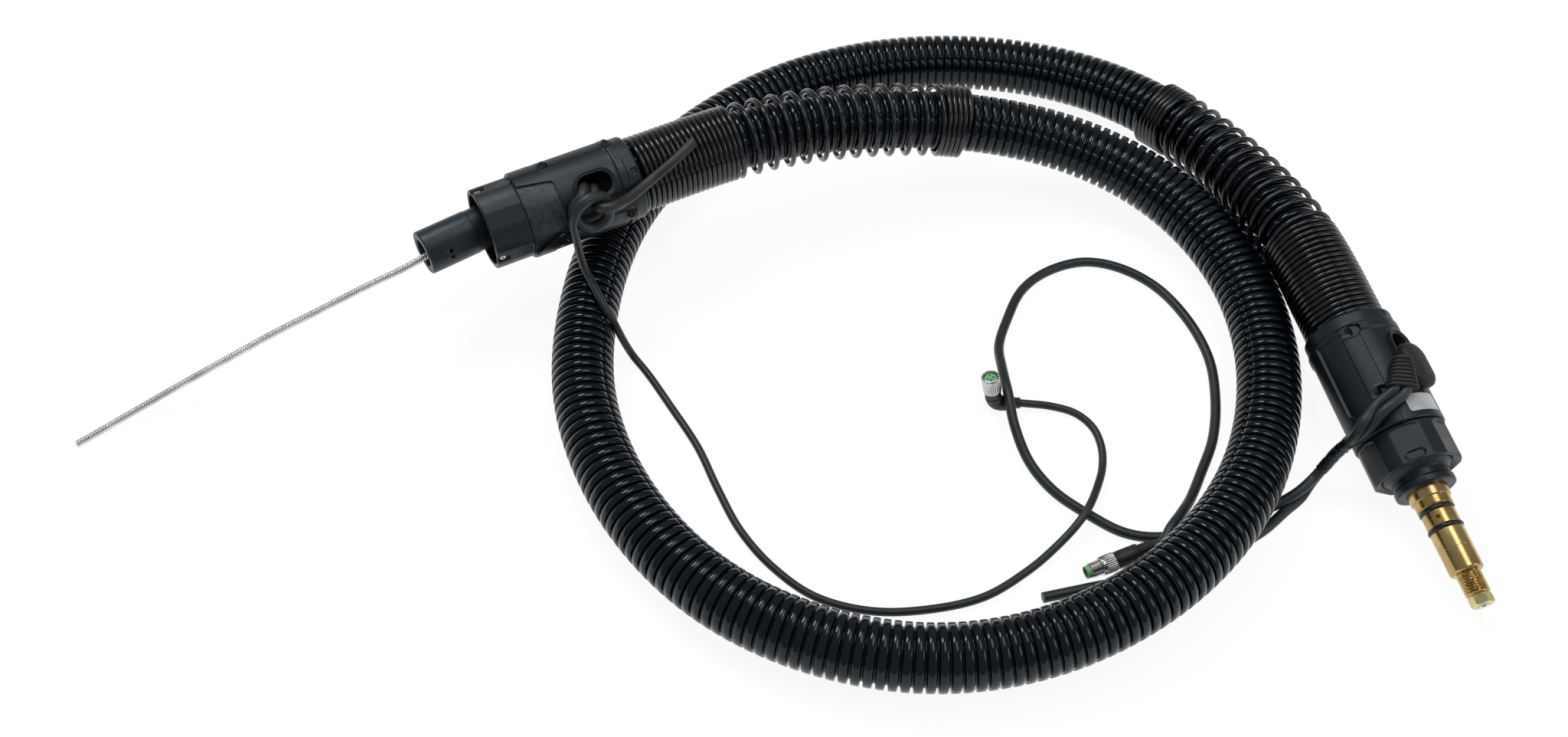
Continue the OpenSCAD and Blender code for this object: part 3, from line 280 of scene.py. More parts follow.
def piece(name, verts, faces, finish, nodes, slot, body="assembly", at=None, sharp=42.0, cuts=()):
    """One closed mesh, smooth up to the angle sharp, with cuts taken out of it."""
    obj = added(name, closed_mesh(name, verts, faces))
    if at is not None:
        obj.matrix_world = at
    for cut in cuts:
        carve(obj, *cut)
    mesh = obj.data
    mesh.polygons.foreach_set("use_smooth", [True] * len(mesh.polygons))
    mesh.set_sharp_from_angle(angle=math.radians(sharp))
    return dress(obj, finish, nodes, body)


def carve(obj, verts, faces):
    """Takes a closed mesh, given in obj's own frame, out of obj."""
    cutter = added("cutter", closed_mesh("cutter", verts, faces))
    cutter.matrix_world = obj.matrix_world
    mod = obj.modifiers.new("cut", "BOOLEAN")
    mod.operation = "DIFFERENCE"
    mod.solver = "EXACT"
    mod.object = cutter
    bpy.context.view_layer.update()
    done = bpy.data.meshes.new_from_object(obj.evaluated_get(bpy.context.evaluated_depsgraph_get()))
    obj.modifiers.clear()
    obj.data = done
    bpy.data.objects.remove(cutter)


def grid_faces(m, n, wrap_m=False, wrap_n=True):
    rows = range(m if wrap_m else m - 1)
    cols = range(n if wrap_n else n - 1)
    return [(i * n + j, i * n + (j + 1) % n, ((i + 1) % m) * n + (j + 1) % n, ((i + 1) % m) * n + j)
            for i in rows for j in cols]


def tube_mesh(rings):
    """Closed mesh from rings of n points each, capped at both ends."""
    m, n = len(rings), len(rings[0])
    faces = grid_faces(m, n)
    faces += [tuple(range(n))[::-1], tuple(range((m - 1) * n, m * n))]
    return np.concatenate(rings), faces


def unit(v):
    return v / np.maximum(np.linalg.norm(v, axis=-1, keepdims=True), 1e-12)


def directions(p):
    d = np.empty_like(p)
    d[1:-1] = p[2:] - p[:-2]
    d[0], d[-1] = p[1] - p[0], p[-1] - p[-2]
    return unit(d)


def carried_sides(dirs):
    side = unit(np.cross(dirs[0], (0, 0, 1) if abs(dirs[0][2]) < 0.9 else (1, 0, 0)))
    out = []
    for d in dirs:
        side = unit(side - d * np.dot(side, d))
        out.append(side)
    return np.array(out)


def swept(p, radii, n, sides=None, lean=0.0):
    """Rings of radius radii (one number, or one per ring, or per ring and point) along p."""
    d = directions(p)
    s = carried_sides(d) if sides is None else sides
    up = np.cross(s, d)
    a = np.arange(n) * TAU / n + lean
    r = np.broadcast_to(np.asarray(radii, float).reshape(-1, 1) if np.ndim(radii) < 2 else radii,
                        (len(p), n))
    return p[:, None] + r[..., None] * (np.cos(a)[None, :, None] * s[:, None]
                                        + np.sin(a)[None, :, None] * up[:, None])


def through(control, steps):
    """Smooth curve through every control point (Catmull-Rom, centripetal)."""
    p = np.array(control, float)
    p = np.vstack([2 * p[0] - p[1], p, 2 * p[-1] - p[-2]])
    out = []
    for i in range(1, len(p) - 2):
        q = p[i - 1:i + 3]
        t = np.concatenate([[0], np.cumsum(np.sqrt(np.linalg.norm(np.diff(q, axis=0), axis=1)))])
        for f in np.arange(steps) / steps:
            x = t[1] + f * (t[2] - t[1])
            a = [((t[k + 1] - x) * q[k] + (x - t[k]) * q[k + 1]) / (t[k + 1] - t[k])
                 for k in range(3)]
            b = [((t[k + 2] - x) * a[k] + (x - t[k]) * a[k + 1]) / (t[k + 2] - t[k])
                 for k in range(2)]
            out.append(((t[2] - x) * b[0] + (x - t[1]) * b[1]) / (t[2] - t[1]))
    out.append(p[-2])
    return np.array(out)


def spaced(p, gap):
    """The same line with points at even distances."""
    s = np.concatenate([[0], np.cumsum(np.linalg.norm(np.diff(p, axis=0), axis=1))])
    at = np.linspace(0, s[-1], max(2, int(s[-1] / gap)))
    return np.stack([np.interp(at, s, p[:, k]) for k in range(3)], axis=1)


def length_of(p):
    return float(np.linalg.norm(np.diff(p, axis=0), axis=1).sum())


def step(a, b, x):
    t = np.clip((x - a) / (b - a), 0, 1)
    return t * t * (3 - 2 * t)


# ---- Route of the hose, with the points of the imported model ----
HOSE_D, TUCK, STRAIGHT = 33.2, 14.0, 30.0
TORCH_AT, TORCH_YAW, TORCH_ROLL = (-70.5, 66.5, 57.8), 207.5, -38.0
NUT_FRONT = 86.3
FEEDER_AT = (311, -25, 22.2 * math.cos(math.radians(8)) + NUT_FRONT * math.sin(math.radians(8)))
FEEDER_YAW, FEEDER_TILT, FEEDER_ROLL = -76.0, 8.0, -31.0
BARREL_AT, BARREL_YAW = (-178, 12.4, 54.3), 214.0


def axis_line(at, yaw, tilt):
    yaw, tilt = math.radians(yaw), math.radians(tilt)
    way = np.array([math.cos(yaw) * math.cos(tilt), math.sin(yaw) * math.cos(tilt),
                    -math.sin(tilt)])
    return lambda x: np.array(at, float) + x * way


torch_axis = axis_line(TORCH_AT, TORCH_YAW, 0)
feeder_axis = axis_line(FEEDER_AT, FEEDER_YAW, FEEDER_TILT)
barrel_axis = axis_line(BARREL_AT, BARREL_YAW, 0)

HOSE_POINTS = [
    (22, 108.5, 56.5), (66, 120.5, 51), (114, 127, 44.5), (163, 124, 37), (210, 107, 29.5),
    (247.5, 76, 21.5), (270, 31.5, 17), (275, -20, 16.6), (266.2, -70, 17.8), (246.5, -116, 21),
    (215.3, -156, 24), (175.5, -186, 22.5), (130, -203.5, 17), (79, -209.5, 16.6),
    (29, -199.5, 16.6), (-16.5, -177, 16.6), (-53, -141, 16.6), (-79, -97.5, 16.6),
    (-94, -49, 16.6), (-94.5, 2, 16.6), (-88, 52, 16.6), (-70, 101, 16.6), (-38, 144, 16.6),
    (2, 178.5, 16.6), (48, 201, 16.6), (98, 211.5, 16.6), (149, 209.5, 16.6), (197, 194.5, 18),
    (236, 166, 20.5), (264.5, 127, 25), (284, 82, 32)]
control = np.array([torch_axis(k * STRAIGHT) for k in (2, 1, 0, -1, -2)] + HOSE_POINTS
                   + [feeder_axis(k * STRAIGHT) for k in (-2, -1, 0, 1, 2)], float)


def b_spline(p, steps):
    f = (np.arange(steps) / steps)[:, None]
    spans = [((1 - f) ** 3 * p[i] + (3 * f ** 3 - 6 * f * f + 4) * p[i + 1]
              + (-3 * f ** 3 + 3 * f * f + 3 * f + 1) * p[i + 2] + f ** 3 * p[i + 3]) / 6
             for i in range(len(p) - 3)]
    return np.vstack(spans + [(p[-3] + 4 * p[-2] + p[-1])[None] / 6])


dense = b_spline(control, 24)
arc = np.concatenate([[0], np.cumsum(np.linalg.norm(np.diff(dense, axis=0), axis=1))])
route_len = arc[-1]


def route_at(s):
    return np.stack([np.interp(s, arc, dense[:, k]) for k in range(3)], axis=-1)


def route_frame(s):
    d = unit(route_at(np.minimum(s + 3, route_len)) - route_at(np.maximum(s - 3, 0)))
    side = unit(np.cross(d, (0, 0, 1)))
    return d, side, np.cross(side, d)


REAR_S = (STRAIGHT, route_len - STRAIGHT)
# One rib: shares of its pitch, and heights from the groove (0) to the crest (1)
RIB_PROFILE = ((0.025, 0.3), (0.06, 0.0), (0.22, 0.0), (0.26, 0.3), (0.29, 0.84), (0.34, 0.975),
               (0.64, 1.0), (0.94, 0.975), (0.99, 0.84))
RIBS, GROOVE_R, CREST_R = 322, 13.9, 16.5
# Moulding seam: degrees of its four lines round the hose, and how far its middle two are sunk
SEAM = (43.2, 44.4, 45.6, 46.8)
SEAM_DEPTH = 0.6


def make_hose():
    first, last = REAR_S[0] - TUCK, REAR_S[1] + TUCK
    pitch = (last - first) / RIBS
    s = np.array([first + (k + t) * pitch for k in range(RIBS) for t, h in RIB_PROFILE])
    h = np.array([h for k in range(RIBS) for t, h in RIB_PROFILE])
    d, side, up = route_frame(s)
    # Evenly spaced lines along the hose, and four for the moulding seam on its inner side
    degrees = np.array(sorted([k * 9 for k in range(40) if k != 5] + list(SEAM)))
    seam = np.isin(degrees, SEAM[1:3]) * SEAM_DEPTH
    r = GROOVE_R + (CREST_R - GROOVE_R) * h[:, None] - seam * h[:, None]
    a = np.radians(degrees)
    centre = route_at(s)
    rings = centre[:, None] + r[..., None] * (
        np.cos(a)[None, :, None] * side[:, None] + np.sin(a)[None, :, None] * up[:, None])
    rings[..., 2] = np.maximum(rings[..., 2], 0.02)
    verts, faces = tube_mesh(list(rings))
    obj = piece("cover_hose", verts, faces, hose_finish, ["hose"], "hose", sharp=80)


make_hose()

# ---- Cover springs ----
# Curls and pitch of the part wound close at the housing, and of the open part after it
CLOSE, OPEN = (18, 3.1), (12, 10.4)
SPRING_CURLS, CURL_START, FIRST_ANGLE = 35, 4.6, 22.5
TORCH_WIRE_R, FEEDER_WIRE_R = 1.52, 1.42


def spring_x(c):
    """Distance of curl c from the housing: wound close, open, and close again to the end."""
    c = np.asarray(c, float)
    return (CURL_START + CLOSE[1] * np.minimum(c, CLOSE[0])
            + OPEN[1] * np.clip(c - CLOSE[0], 0, OPEN[0])
            + CLOSE[1] * np.maximum(0, c - CLOSE[0] - OPEN[0]))


def make_spring(name, s0, way, wire_r, taper):
    """Spring from the housing at s0. way is 1 or -1 along the route, and turns the winding with it,
    so that both springs are of one hand; taper is distances and the outside radii there."""
    curls = np.arange(-1.0, SPRING_CURLS, 1 / 40)
    x = spring_x(curls)
    r = np.interp(x, *taper) - wire_r
    s = s0 + way * x
    d, side, up = route_frame(s)
    a = np.radians(FIRST_ANGLE) - way * curls * TAU
    line = route_at(s) + r[:, None] * (np.cos(a)[:, None] * side + np.sin(a)[:, None] * up)
    ends = np.minimum(1, np.minimum(np.arange(len(line)), np.arange(len(line))[::-1]) / 3)
    verts, faces = tube_mesh(list(swept(line, wire_r * (0.55 + 0.45 * ends), 12)))
    return piece(name + "_wire", verts, faces, spring_finish, [name], "cover_spring", sharp=80)


torch_taper = spring_x((CLOSE[0] + OPEN[0] / 2, CLOSE[0] + OPEN[0])), (21.3, 20.8)
feeder_taper = spring_x((CLOSE[0] * 0.4, CLOSE[0], CLOSE[0] + OPEN[0])), (21.2, 20.7, 19.8)
make_spring("torch_spring", REAR_S[0], 1, TORCH_WIRE_R, torch_taper)
make_spring("feeder_spring", REAR_S[1], -1, FEEDER_WIRE_R, feeder_taper)

# ---- Free cables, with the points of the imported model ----
SENSOR_D, TUBE_D, CABLE_D, LINER_D = 4.2, 5.6, 5.4, 4.0
LINER_POINTS = [
    (-168, 19, 54), (-181, 8.5, 52.5), (-190.5, 2, 51.5), (-206, -5, 48), (-230.5, -15, 40.5),
    (-255.5, -23, 31), (-280.5, -32, 21), (-309.5, -44, 10.5), (-336, -59.5, 4), (-356.5, -75, 2)]
SENSOR_POINTS = [
    (-94, 44.5, 70), (-92.5, 40.5, 76), (-92.5, 32, 77.5), (-97, 27, 73), (-95, 23.5, 66),
    (-88.5, 24.5, 61), (-81.5, 28.5, 62.5), (-79, 31.5, 69.5), (-81.5, 31, 77.5), (-88, 27, 80.5),
    (-94, 22.5, 78), (-97, 19.5, 71), (-96.5, 18.5, 58), (-95.5, 17.5, 46), (-94, 16, 38.5),
    (-91, 11, 36), (-87.5, 3.5, 35.4), (-83.5, -4, 33), (-78, -11, 27), (-72.5, -15, 13),
    (-68, -18, 4.5), (-62, -25, 2.1), (-46, -51, 2.1), (-31, -77, 2.1), (-20, -103, 2.1),
    (-8, -128, 2.1), (8, -149, 2.1), (29, -166, 2.1), (56, -174, 2.1), (85, -173, 2.1),
    (112, -166, 2.1), (135, -151, 2.1), (150, -138, 3.5), (160, -128.5, 7), (167, -119, 8.2),
    (174, -104, 5), (179, -89, 2.1), (180, -76, 2.1), (177, -64, 2.1), (169, -55, 2.3),
    (156, -51, 3.4), (140, -50, 4.8)]
TUBE_POINTS = [
    (-89.5, 45.5, 69), (-87.5, 41, 74), (-86.5, 35.5, 75.5), (-85.5, 28.5, 74), (-81.5, 25, 75.5),
    (-76, 26.5, 75.5), (-70.5, 34, 72), (-58, 49, 72), (-46, 59, 76.5), (-35, 70.5, 80)]
SIGNAL_POINTS = [
    (318.4, -75.6, 54.8), (316.6, -78.6, 53.2), (308.2, -83.8, 47.8), (301.1, -92, 45),
    (298.4, -95.8, 39.2), (296.3, -95.4, 31.6), (292.2, -96.3, 23.5), (286.8, -99.8, 15),
    (283.3, -102.3, 10.8), (278.6, -106.2, 9.4), (273.1, -109.9, 7.6), (264.4, -113.6, 4.2),
    (250, -119.8, 2.7), (222, -129, 2.7), (199, -132.5, 2.7), (184, -129.5, 2.7),
    (168, -119, 2.7), (152, -105, 3), (141, -88, 4.5), (134.5, -68, 9.5), (132.5, -50, 12.9),
    (131.5, -31, 9.5), (132, -10, 4), (138, 9, 2.7), (149, 32, 2.7), (165, 46, 2.7),
    (186, 53, 2.7), (205, 49, 2.7), (224, 35, 2.7), (238, 12, 2.7), (246, -17, 2.7),
    (245, -45, 2.7), (239, -72, 2.7), (229, -94, 2.7), (221, -110, 4), (214, -121, 7.5),
    (207, -130.5, 9.4), (201.5, -138.5, 7.4), (196.5, -140.5, 7)]
CUT_POINTS = [
    (323.8, -76.8, 55), (321.6, -80.4, 53.5), (310.6, -88.5, 49), (305.1, -92.7, 41.6),
    (302.2, -93.6, 36.2), (299.4, -91.6, 28.8), (295.3, -92.5, 20.7), (289.9, -96, 12.2),
    (284, -101, 5.4), (277.2, -109.2, 2.8), (268, -117, 2.7), (254, -129, 2.7), (233, -141, 2.7),
    (209, -151, 2.7), (185, -157, 2.7), (166, -161, 2.7), (140, -167, 2.7)]


def lying(points, r, gap):
    p = spaced(through(points, 8), gap)
    p[:, 2] = np.maximum(p[:, 2], r)
    return p


def free_cable(name, node, points, d, finish, slot, far_end, stiffness="medium", radii=None,
               gap=1.6, with_pieces=(), sides=16):
    p = lying(points, d / 2, gap)
    r = np.full(len(p), d / 2) if radii is None else radii(p)
    verts, faces = tube_mesh(list(swept(p, r, sides)))
    obj = piece(name, verts, faces, finish, [node], slot, sharp=60)
    return obj, dict(exit=p[0] * MM, length=length_of(p) * MM, diameter=d * MM, far_end=far_end,
                     stiffness=stiffness, lay="loose", path=p[::3] * MM, with_pieces=with_pieces)


SENSOR_SIDES, SENSOR_CORDS = 44, 11


def sensor_radii(p):
    """Thick corded winding round the tube in front of the port, and a plain cable after it."""
    loop = [length_of(through(SENSOR_POINTS[:k], 8)) for k in (2, 12)]
    s = np.arange(len(p)) * length_of(p) / (len(p) - 1)
    thick = step(loop[0] - 4, loop[0] + 4, s) * (1 - step(loop[1] - 5, loop[1] + 3, s))
    a = np.arange(SENSOR_SIDES) * TAU / SENSOR_SIDES
    cords = np.abs(np.cos(SENSOR_CORDS / 2 * a[None] + s[:, None] * 0.03))
    return SENSOR_D / 2 + thick[:, None] * (0.75 + 0.3 * cords)


def thin_cable_radii(d):
    def radii(p):
        wobble = np.array([noise.noise(Vector(q) * 0.11) for q in p])
        return d / 2 * (1 + 0.012 * wobble)
    return radii


# Liner: a fine coil of flat wire, its turns cut helically into the tube
def make_liner():
    gap, pitch, n, in_barrel, groove, groove_width = 0.19, 1.4, 18, 12, 0.5, 0.17
    p = spaced(through([barrel_axis(-in_barrel)] + LINER_POINTS, 8), gap)
    p[:, 2] = np.maximum(p[:, 2], LINER_D / 2)
    turn = np.arange(len(p))[:, None] * gap / pitch - np.arange(n)[None] / n
    r = LINER_D / 2 - groove * np.exp(-((turn % 1 - 0.5) / groove_width) ** 2)
    verts, faces = tube_mesh(list(swept(p, r, n)))
    obj = piece("wire_liner_coil", verts, faces, liner_finish, ["wire_liner"], "liner_wire",
                sharp=80)
    barrel_axis(0) * MM


make_liner()
sensor, sensor_facts = free_cable(
    "sensor_lead", "sensor_cable", SENSOR_POINTS, SENSOR_D, cable_finish, "cable", "connector",
    radii=sensor_radii, sides=SENSOR_SIDES, gap=1.2,
    with_pieces=["angled_plug_elbow", "angled_plug_ring", "angled_plug_carrier"])
tube, tube_facts = free_cable(
    "gas_tube", "rubber_tube", TUBE_POINTS, TUBE_D, tube_finish, "rubber", "bare",
    stiffness="stiff", gap=1.0)
signal, signal_facts = free_cable(
    "signal_lead", "signal_cable", SIGNAL_POINTS, CABLE_D, cable_finish, "cable", "connector",
    radii=thin_cable_radii(CABLE_D), with_pieces=[
        "straight_plug_sleeve", "straight_plug_ring", "straight_plug_carrier",
        "straight_plug_pins"])
cut, cut_facts = free_cable(
    "cut_lead", "cut_cable", CUT_POINTS, CABLE_D, cable_finish, "cable", "bare",
    radii=thin_cable_radii(CABLE_D))


# ---- Turned and moulded bodies along x: one closed outline in (x, r) for each angle ----
def around_x(outline, angles, full=True):
    """outline(angle) gives a closed list of (x, r); +Z is at angle 0 and +Y at 90 degrees."""
    loops = [np.asarray(outline(a), float) for a in angles]
    n = len(loops[0])
    rings = [np.stack([q[:, 0], q[:, 1] * math.sin(a), q[:, 1] * math.cos(a)], axis=1)
             for q, a in zip(loops, angles)]
    faces = grid_faces(len(rings), n, wrap_m=full)
    if not full:
        faces += [tuple(range(n))[::-1], tuple(range((len(rings) - 1) * n, len(rings) * n))]
    return np.concatenate(rings), faces


def turned_solid(profile, sides=96):
    """Solid of revolution from an open (x, r) line that starts and ends near the axis."""
    a = np.arange(sides) * TAU / sides
    rings = [np.stack([np.full(sides, x), r * np.sin(a), r * np.cos(a)], axis=1)
             for x, r in profile]
    return tube_mesh(rings)


def rounded(profile, sizes):
    """Rounds the corners of an (x, r) line: sizes gives the rounding of each corner."""
    p = np.asarray(profile, float)
    out = [p[0]]
    for i in range(1, len(p) - 1):
        size = sizes[i] if not np.isscalar(sizes) else sizes
        a, b = p[i - 1] - p[i], p[i + 1] - p[i]
        la, lb = np.linalg.norm(a), np.linalg.norm(b)
        c = min(size, 0.45 * la, 0.45 * lb)
        if c < 0.02:
            out.append(p[i])
            continue
        start, end = p[i] + a / la * c, p[i] + b / lb * c
        for t in (0, 0.25, 0.5, 0.75, 1):
            out.append((1 - t) ** 2 * start + 2 * t * (1 - t) * p[i] + t * t * end)
    out.append(p[-1])
    return out


def ring_of(profile, sizes, sides=96):
    """Ring of revolution from a closed (x, r) outline with rounded corners."""
    line = rounded(profile + [profile[0]], sizes)[:-1]
    return around_x(lambda a: line, np.arange(sides) * TAU / sides)


# ---- Housings ----
SHELL_LEN, LAND_R, PANEL_R, CAVITY_R = 65.2, 24.3, 23.2, 22.1
HOLE_R, REAR_WALL = 17.1, 6.0
SCREW_XY = [(x, y) for x in (10.0, 46.8) for y in (-20.3, 20.3)]
PORT_X, PORT_L, PORT_W, RIM = 26.0, 19.0, 12.0, 1.7
LAND_ANGLES = (50, 71)
POCKET_END, POCKET_CORNER, SCREW_FLOOR = 53.6, 5.5, 12.0
FRONT_SCREW_R, REAR_SCREW_R = 3.1, 2.55
CUT_FROM, CUT_TO = 5, 40


def shell_radius(x, phi, screws):
    """Outer radius of a half shell at distances x and one angle: lands, pockets and recesses.
    It never comes down to the cavity, because the cuts would then empty the shell."""
    a = abs(math.degrees(phi))
    a = min(a, 180 - a)
    soft = 1.0
    land = (step(LAND_ANGLES[0] - soft, LAND_ANGLES[0], a)
            * (1 - step(LAND_ANGLES[1], LAND_ANGLES[1] + soft, a)))
    r = np.full_like(x, PANEL_R + 0.75)
    centre = 1 - step(LAND_ANGLES[0] - soft, LAND_ANGLES[0], a)
    r = r - 0.75 * centre * step(11.2, 12.2, x)
    # Long pocket on each side, over the parting line, with round front corners
    half = math.radians(90 - LAND_ANGLES[1] - 0.4) * PANEL_R
    off = abs(math.radians(a - 90)) * PANEL_R
    into = max(0.0, off - (half - POCKET_CORNER))
    end = POCKET_END - POCKET_CORNER + math.sqrt(max(0.0, POCKET_CORNER ** 2 - into ** 2))
    side = 1 - step(half - 0.4, half, off)
    r = r - 0.95 * side * step(9.6, 10.2, x) * (1 - step(end - 0.5, end, x))
    r = r + (LAND_R - r) * land * step(8, 8.8, x)
    r = np.where(x < 7.6, PANEL_R - 0.25 * step(6.6, 7.0, x), r)
    r = r - 0.6 * (1 - step(0, 1.0, x)) - 0.4 * step(SHELL_LEN - 0.6, SHELL_LEN, x)
    if screws:
        y, z = r * math.sin(phi), r * math.cos(phi)
        for sx, sy in SCREW_XY:
            size = FRONT_SCREW_R if sx < 20 else REAR_SCREW_R
            d = np.hypot(x - sx, y - sy)
            lip = np.exp(-((d - size - 0.7) / 0.45) ** 2) * (0.28 if sx < 20 else 0.12)
            inside = 1 - step(size - 0.25, size + 0.2, d)
            floor = SCREW_FLOOR / max(0.15, math.cos(phi))
            r = r + lip * (1 - inside)
            r = np.where(inside > 0, r + (np.minimum(r, floor) - r) * inside, r)
        notch = 0.7 * (1 - step(1.6, 2.0, abs(y)))
        r = r - notch * step(1.6, 2.0, x) * (1 - step(4.4, 4.8, x)) * (z > 0)
    return np.maximum(r, CAVITY_R + 0.12)


def half_shell(port_side):
    xs = np.unique(np.concatenate([np.linspace(0, SHELL_LEN, 165), np.linspace(0, 1.2, 7),
                                   np.linspace(6.5, 9, 13)]))
    edge = math.asin(0.05 / LAND_R)
    angles = np.linspace(-math.pi / 2 + edge, math.pi / 2 - edge, 209)

    def outline(a):
        r = shell_radius(xs, a, port_side)
        back = [(SHELL_LEN, CAVITY_R), (REAR_WALL, CAVITY_R), (REAR_WALL, HOLE_R), (0, HOLE_R)]
        return list(zip(xs, r)) + back

    return around_x(outline, angles, full=False)


def prism(outline, z0, z1):
    p = np.asarray(outline, float)
    return tube_mesh([np.column_stack([p, np.full(len(p), z)]) for z in (z0, z1)])


def oval(length, width, n=48, cx=0.0, cy=0.0):
    """Outline with straight sides and round ends, counted round from the +x end."""
    out = []
    for k in range(n):
        a = TAU * (k + 0.5) / n
        shift = (length - width) / 2 * (1 if math.cos(a) > 0 else -1)
        out.append((cx + shift + width / 2 * math.cos(a), cy + width / 2 * math.sin(a)))
    return out


# Cut-out of the torch-end port shell that shows the sleeve: square at its rear, a wing each side
SCOOP = [
    (80, 23.6), (65.3, 23.5), (61.5, 21.7), (57.6, 20), (54, 19.1), (50.5, 18), (47.5, 17.3),
    (46.3, 15.6), (46, 13.4), (45.9, 10), (45.9, -8.2), (46.3, -9.6), (47.4, -10.3), (50, -10.9),
    (63.5, -13.2), (80, -14)]
port_hole = prism(oval(PORT_L + 2 * RIM + 0.2, PORT_W + 2 * RIM + 0.2, cx=PORT_X),
                  CUT_FROM, CUT_TO)
torch_frame = placed(TORCH_AT, TORCH_YAW, 0, TORCH_ROLL)
feeder_frame = placed(FEEDER_AT, FEEDER_YAW, FEEDER_TILT)
feeder_rolled = placed(FEEDER_AT, FEEDER_YAW, FEEDER_TILT, FEEDER_ROLL)
half_turn = Matrix.Rotation(math.pi, 4, "X")

for end, at, cuts in (("torch", torch_frame, [port_hole, prism(SCOOP, CUT_FROM, CUT_TO)]),
                      ("feeder", feeder_rolled, [port_hole])):
    piece(end + "_port_half", *half_shell(True), shell_finish, [end + "_port_shell"], "housing",
          at=at, cuts=cuts, sharp=34)
    piece(end + "_back_half", *half_shell(False), shell_finish, [end + "_back_shell"], "housing",
          at=at @ half_turn, sharp=34)


def port_lining(top, lip):
    """Soft lip round the oval port: a rounded section carried round the oval."""
    base, sides = 20.1, 64
    section = [
        (0.0, base), (0.0, top - 1.4), (0.15, top - 0.8), (0.45, top - 0.45), (0.8, top - 0.4),
        (1.05, top - 0.62), (1.2, top - 0.62), (1.4, top - 0.2), (1.75, top), (2.1, top - 0.08),
        (RIM + lip, top - 0.45), (RIM + lip + 0.1, top - 1.0), (RIM + lip, top - 1.5),
        (RIM, top - 1.7), (RIM, base)]
    rings = []
    for grow, z in section:
        line = oval(PORT_L + 2 * grow, PORT_W + 2 * grow, sides, cx=PORT_X)
        rings.append([(x, y, z) for x, y in line])
    return np.concatenate(rings), grid_faces(len(section), sides, wrap_m=True)


piece("torch_port_lip", *port_lining(25.0, 0.7), rim_finish, ["torch_port_rim"], "rubber",
      at=torch_frame, sharp=60)
piece("feeder_port_lip", *port_lining(24.5, 0.4), rim_finish, ["feeder_port_rim"], "rubber",
      at=feeder_rolled, sharp=60)

# ---- Rings with six grip flats ----
RING_X = (65.5, 87.0)
NUT_X = (65.5, NUT_FRONT)
GRIP_R, RING_FLAT, NUT_FLAT, NUT_TURN = 22.2, 21.7, 20.9, -22
RING_BORE, SLEEVE_BORE, SLEEVE_R, SLEEVE_X = 19.7, 20.5, 22.0, 38


def flat_radius(x, phi, x0, x1, centre, outer_r, apothem, run_in):
    """Round ring with six flats that start behind an arched edge, and its own edges rounded."""
    a = (math.degrees(phi) - centre + 30) % 60 - 30
    flat = apothem / math.cos(math.radians(a))
    half = math.degrees(math.acos(apothem / outer_r))
    arch = 1.5 * max(0.0, 1 - (a / half) ** 2)
    r = outer_r + min(0.0, flat - outer_r) * step(x0 + run_in, x0 + run_in + 0.7, x + arch)
    for edge, way in ((x0, 1), (x1, -1)):
        t = np.clip(way * (x - edge) / 0.9, 0, 1)
        r = r - 0.9 * (1 - np.sqrt(1 - (1 - t) ** 2))
    return r


def grip_xs(x0, x1):
    fine = np.array([0, .05, .15, .3, .5, .7])
    return np.unique(np.concatenate([np.linspace(x0, x1, 62), x0 + fine, x1 - fine]))


def end_ring_outline(phi):
    xs = grip_xs(*RING_X)
    r = flat_radius(xs, phi, *RING_X, 0, GRIP_R, RING_FLAT, 1.6)
    whole = 0 if phi < math.pi else 360
    for a in (-62, 62):
        off = abs(math.radians(math.degrees(phi) - whole - a)) * SLEEVE_R
        cut = (1 - step(2.2, 2.6, off)) * step(79.6, 80.4, xs)
        r = r - (r - 20.7) * cut
    back = [(RING_X[1] - 0.05, RING_BORE + 0.3), (RING_X[1] - 0.4, RING_BORE), (78, RING_BORE),
            (78, SLEEVE_BORE), (SLEEVE_X, SLEEVE_BORE), (SLEEVE_X, SLEEVE_R), (65.4, SLEEVE_R)]
    return list(zip(xs, r)) + back


angles = np.arange(360) * TAU / 360
piece(
    "torch_ring_body", *around_x(end_ring_outline, angles), shell_finish, ["torch_end_ring"],
    "housing", at=torch_frame, sharp=34)


def nut_outline(phi):
    xs = grip_xs(*NUT_X)
    r = flat_radius(xs, phi, *NUT_X, NUT_TURN, GRIP_R, NUT_FLAT, 2.2)
    mid = math.radians(NUT_TURN if phi < math.pi else NUT_TURN + 360)
    across = abs(phi - mid) * 21.0
    d = np.hypot(xs - (NUT_X[1] - 3.9), max(across - 2.7, 0))
    r = r - 0.95 * (1 - step(1.7, 2.3, d)) + 0.12 * np.exp(-((d - 2.5) / 0.25) ** 2)
    back = [(NUT_X[1] - 0.3, 19.6), (NUT_X[1] - 1.6, 18.0), (NUT_X[1] - 3, 17.85),
            (NUT_X[0], 17.85)]
    return list(zip(xs, r)) + back


piece(
    "coupling_nut_body", *around_x(nut_outline, angles), shell_finish, ["coupling_nut"],
    "housing", body="coupling_nut", at=feeder_frame, sharp=34)

# ---- Barrel, collar, pin, O-rings, liner screw ----
def drilled(x, r, angles, low, high, sides=24):
    """Cutters for round holes at x across the axis, at angles from +Z and between two radii."""
    cutters = []
    for a in angles:
        turn = Matrix.Rotation(math.radians(-a), 4, "X")
        cutters.append(tube_mesh([
            [tuple(turn @ Vector((x + r * math.cos(t), r * math.sin(t), z)))
             for t in np.arange(sides) * TAU / sides] for z in (low, high)]))
    return cutters


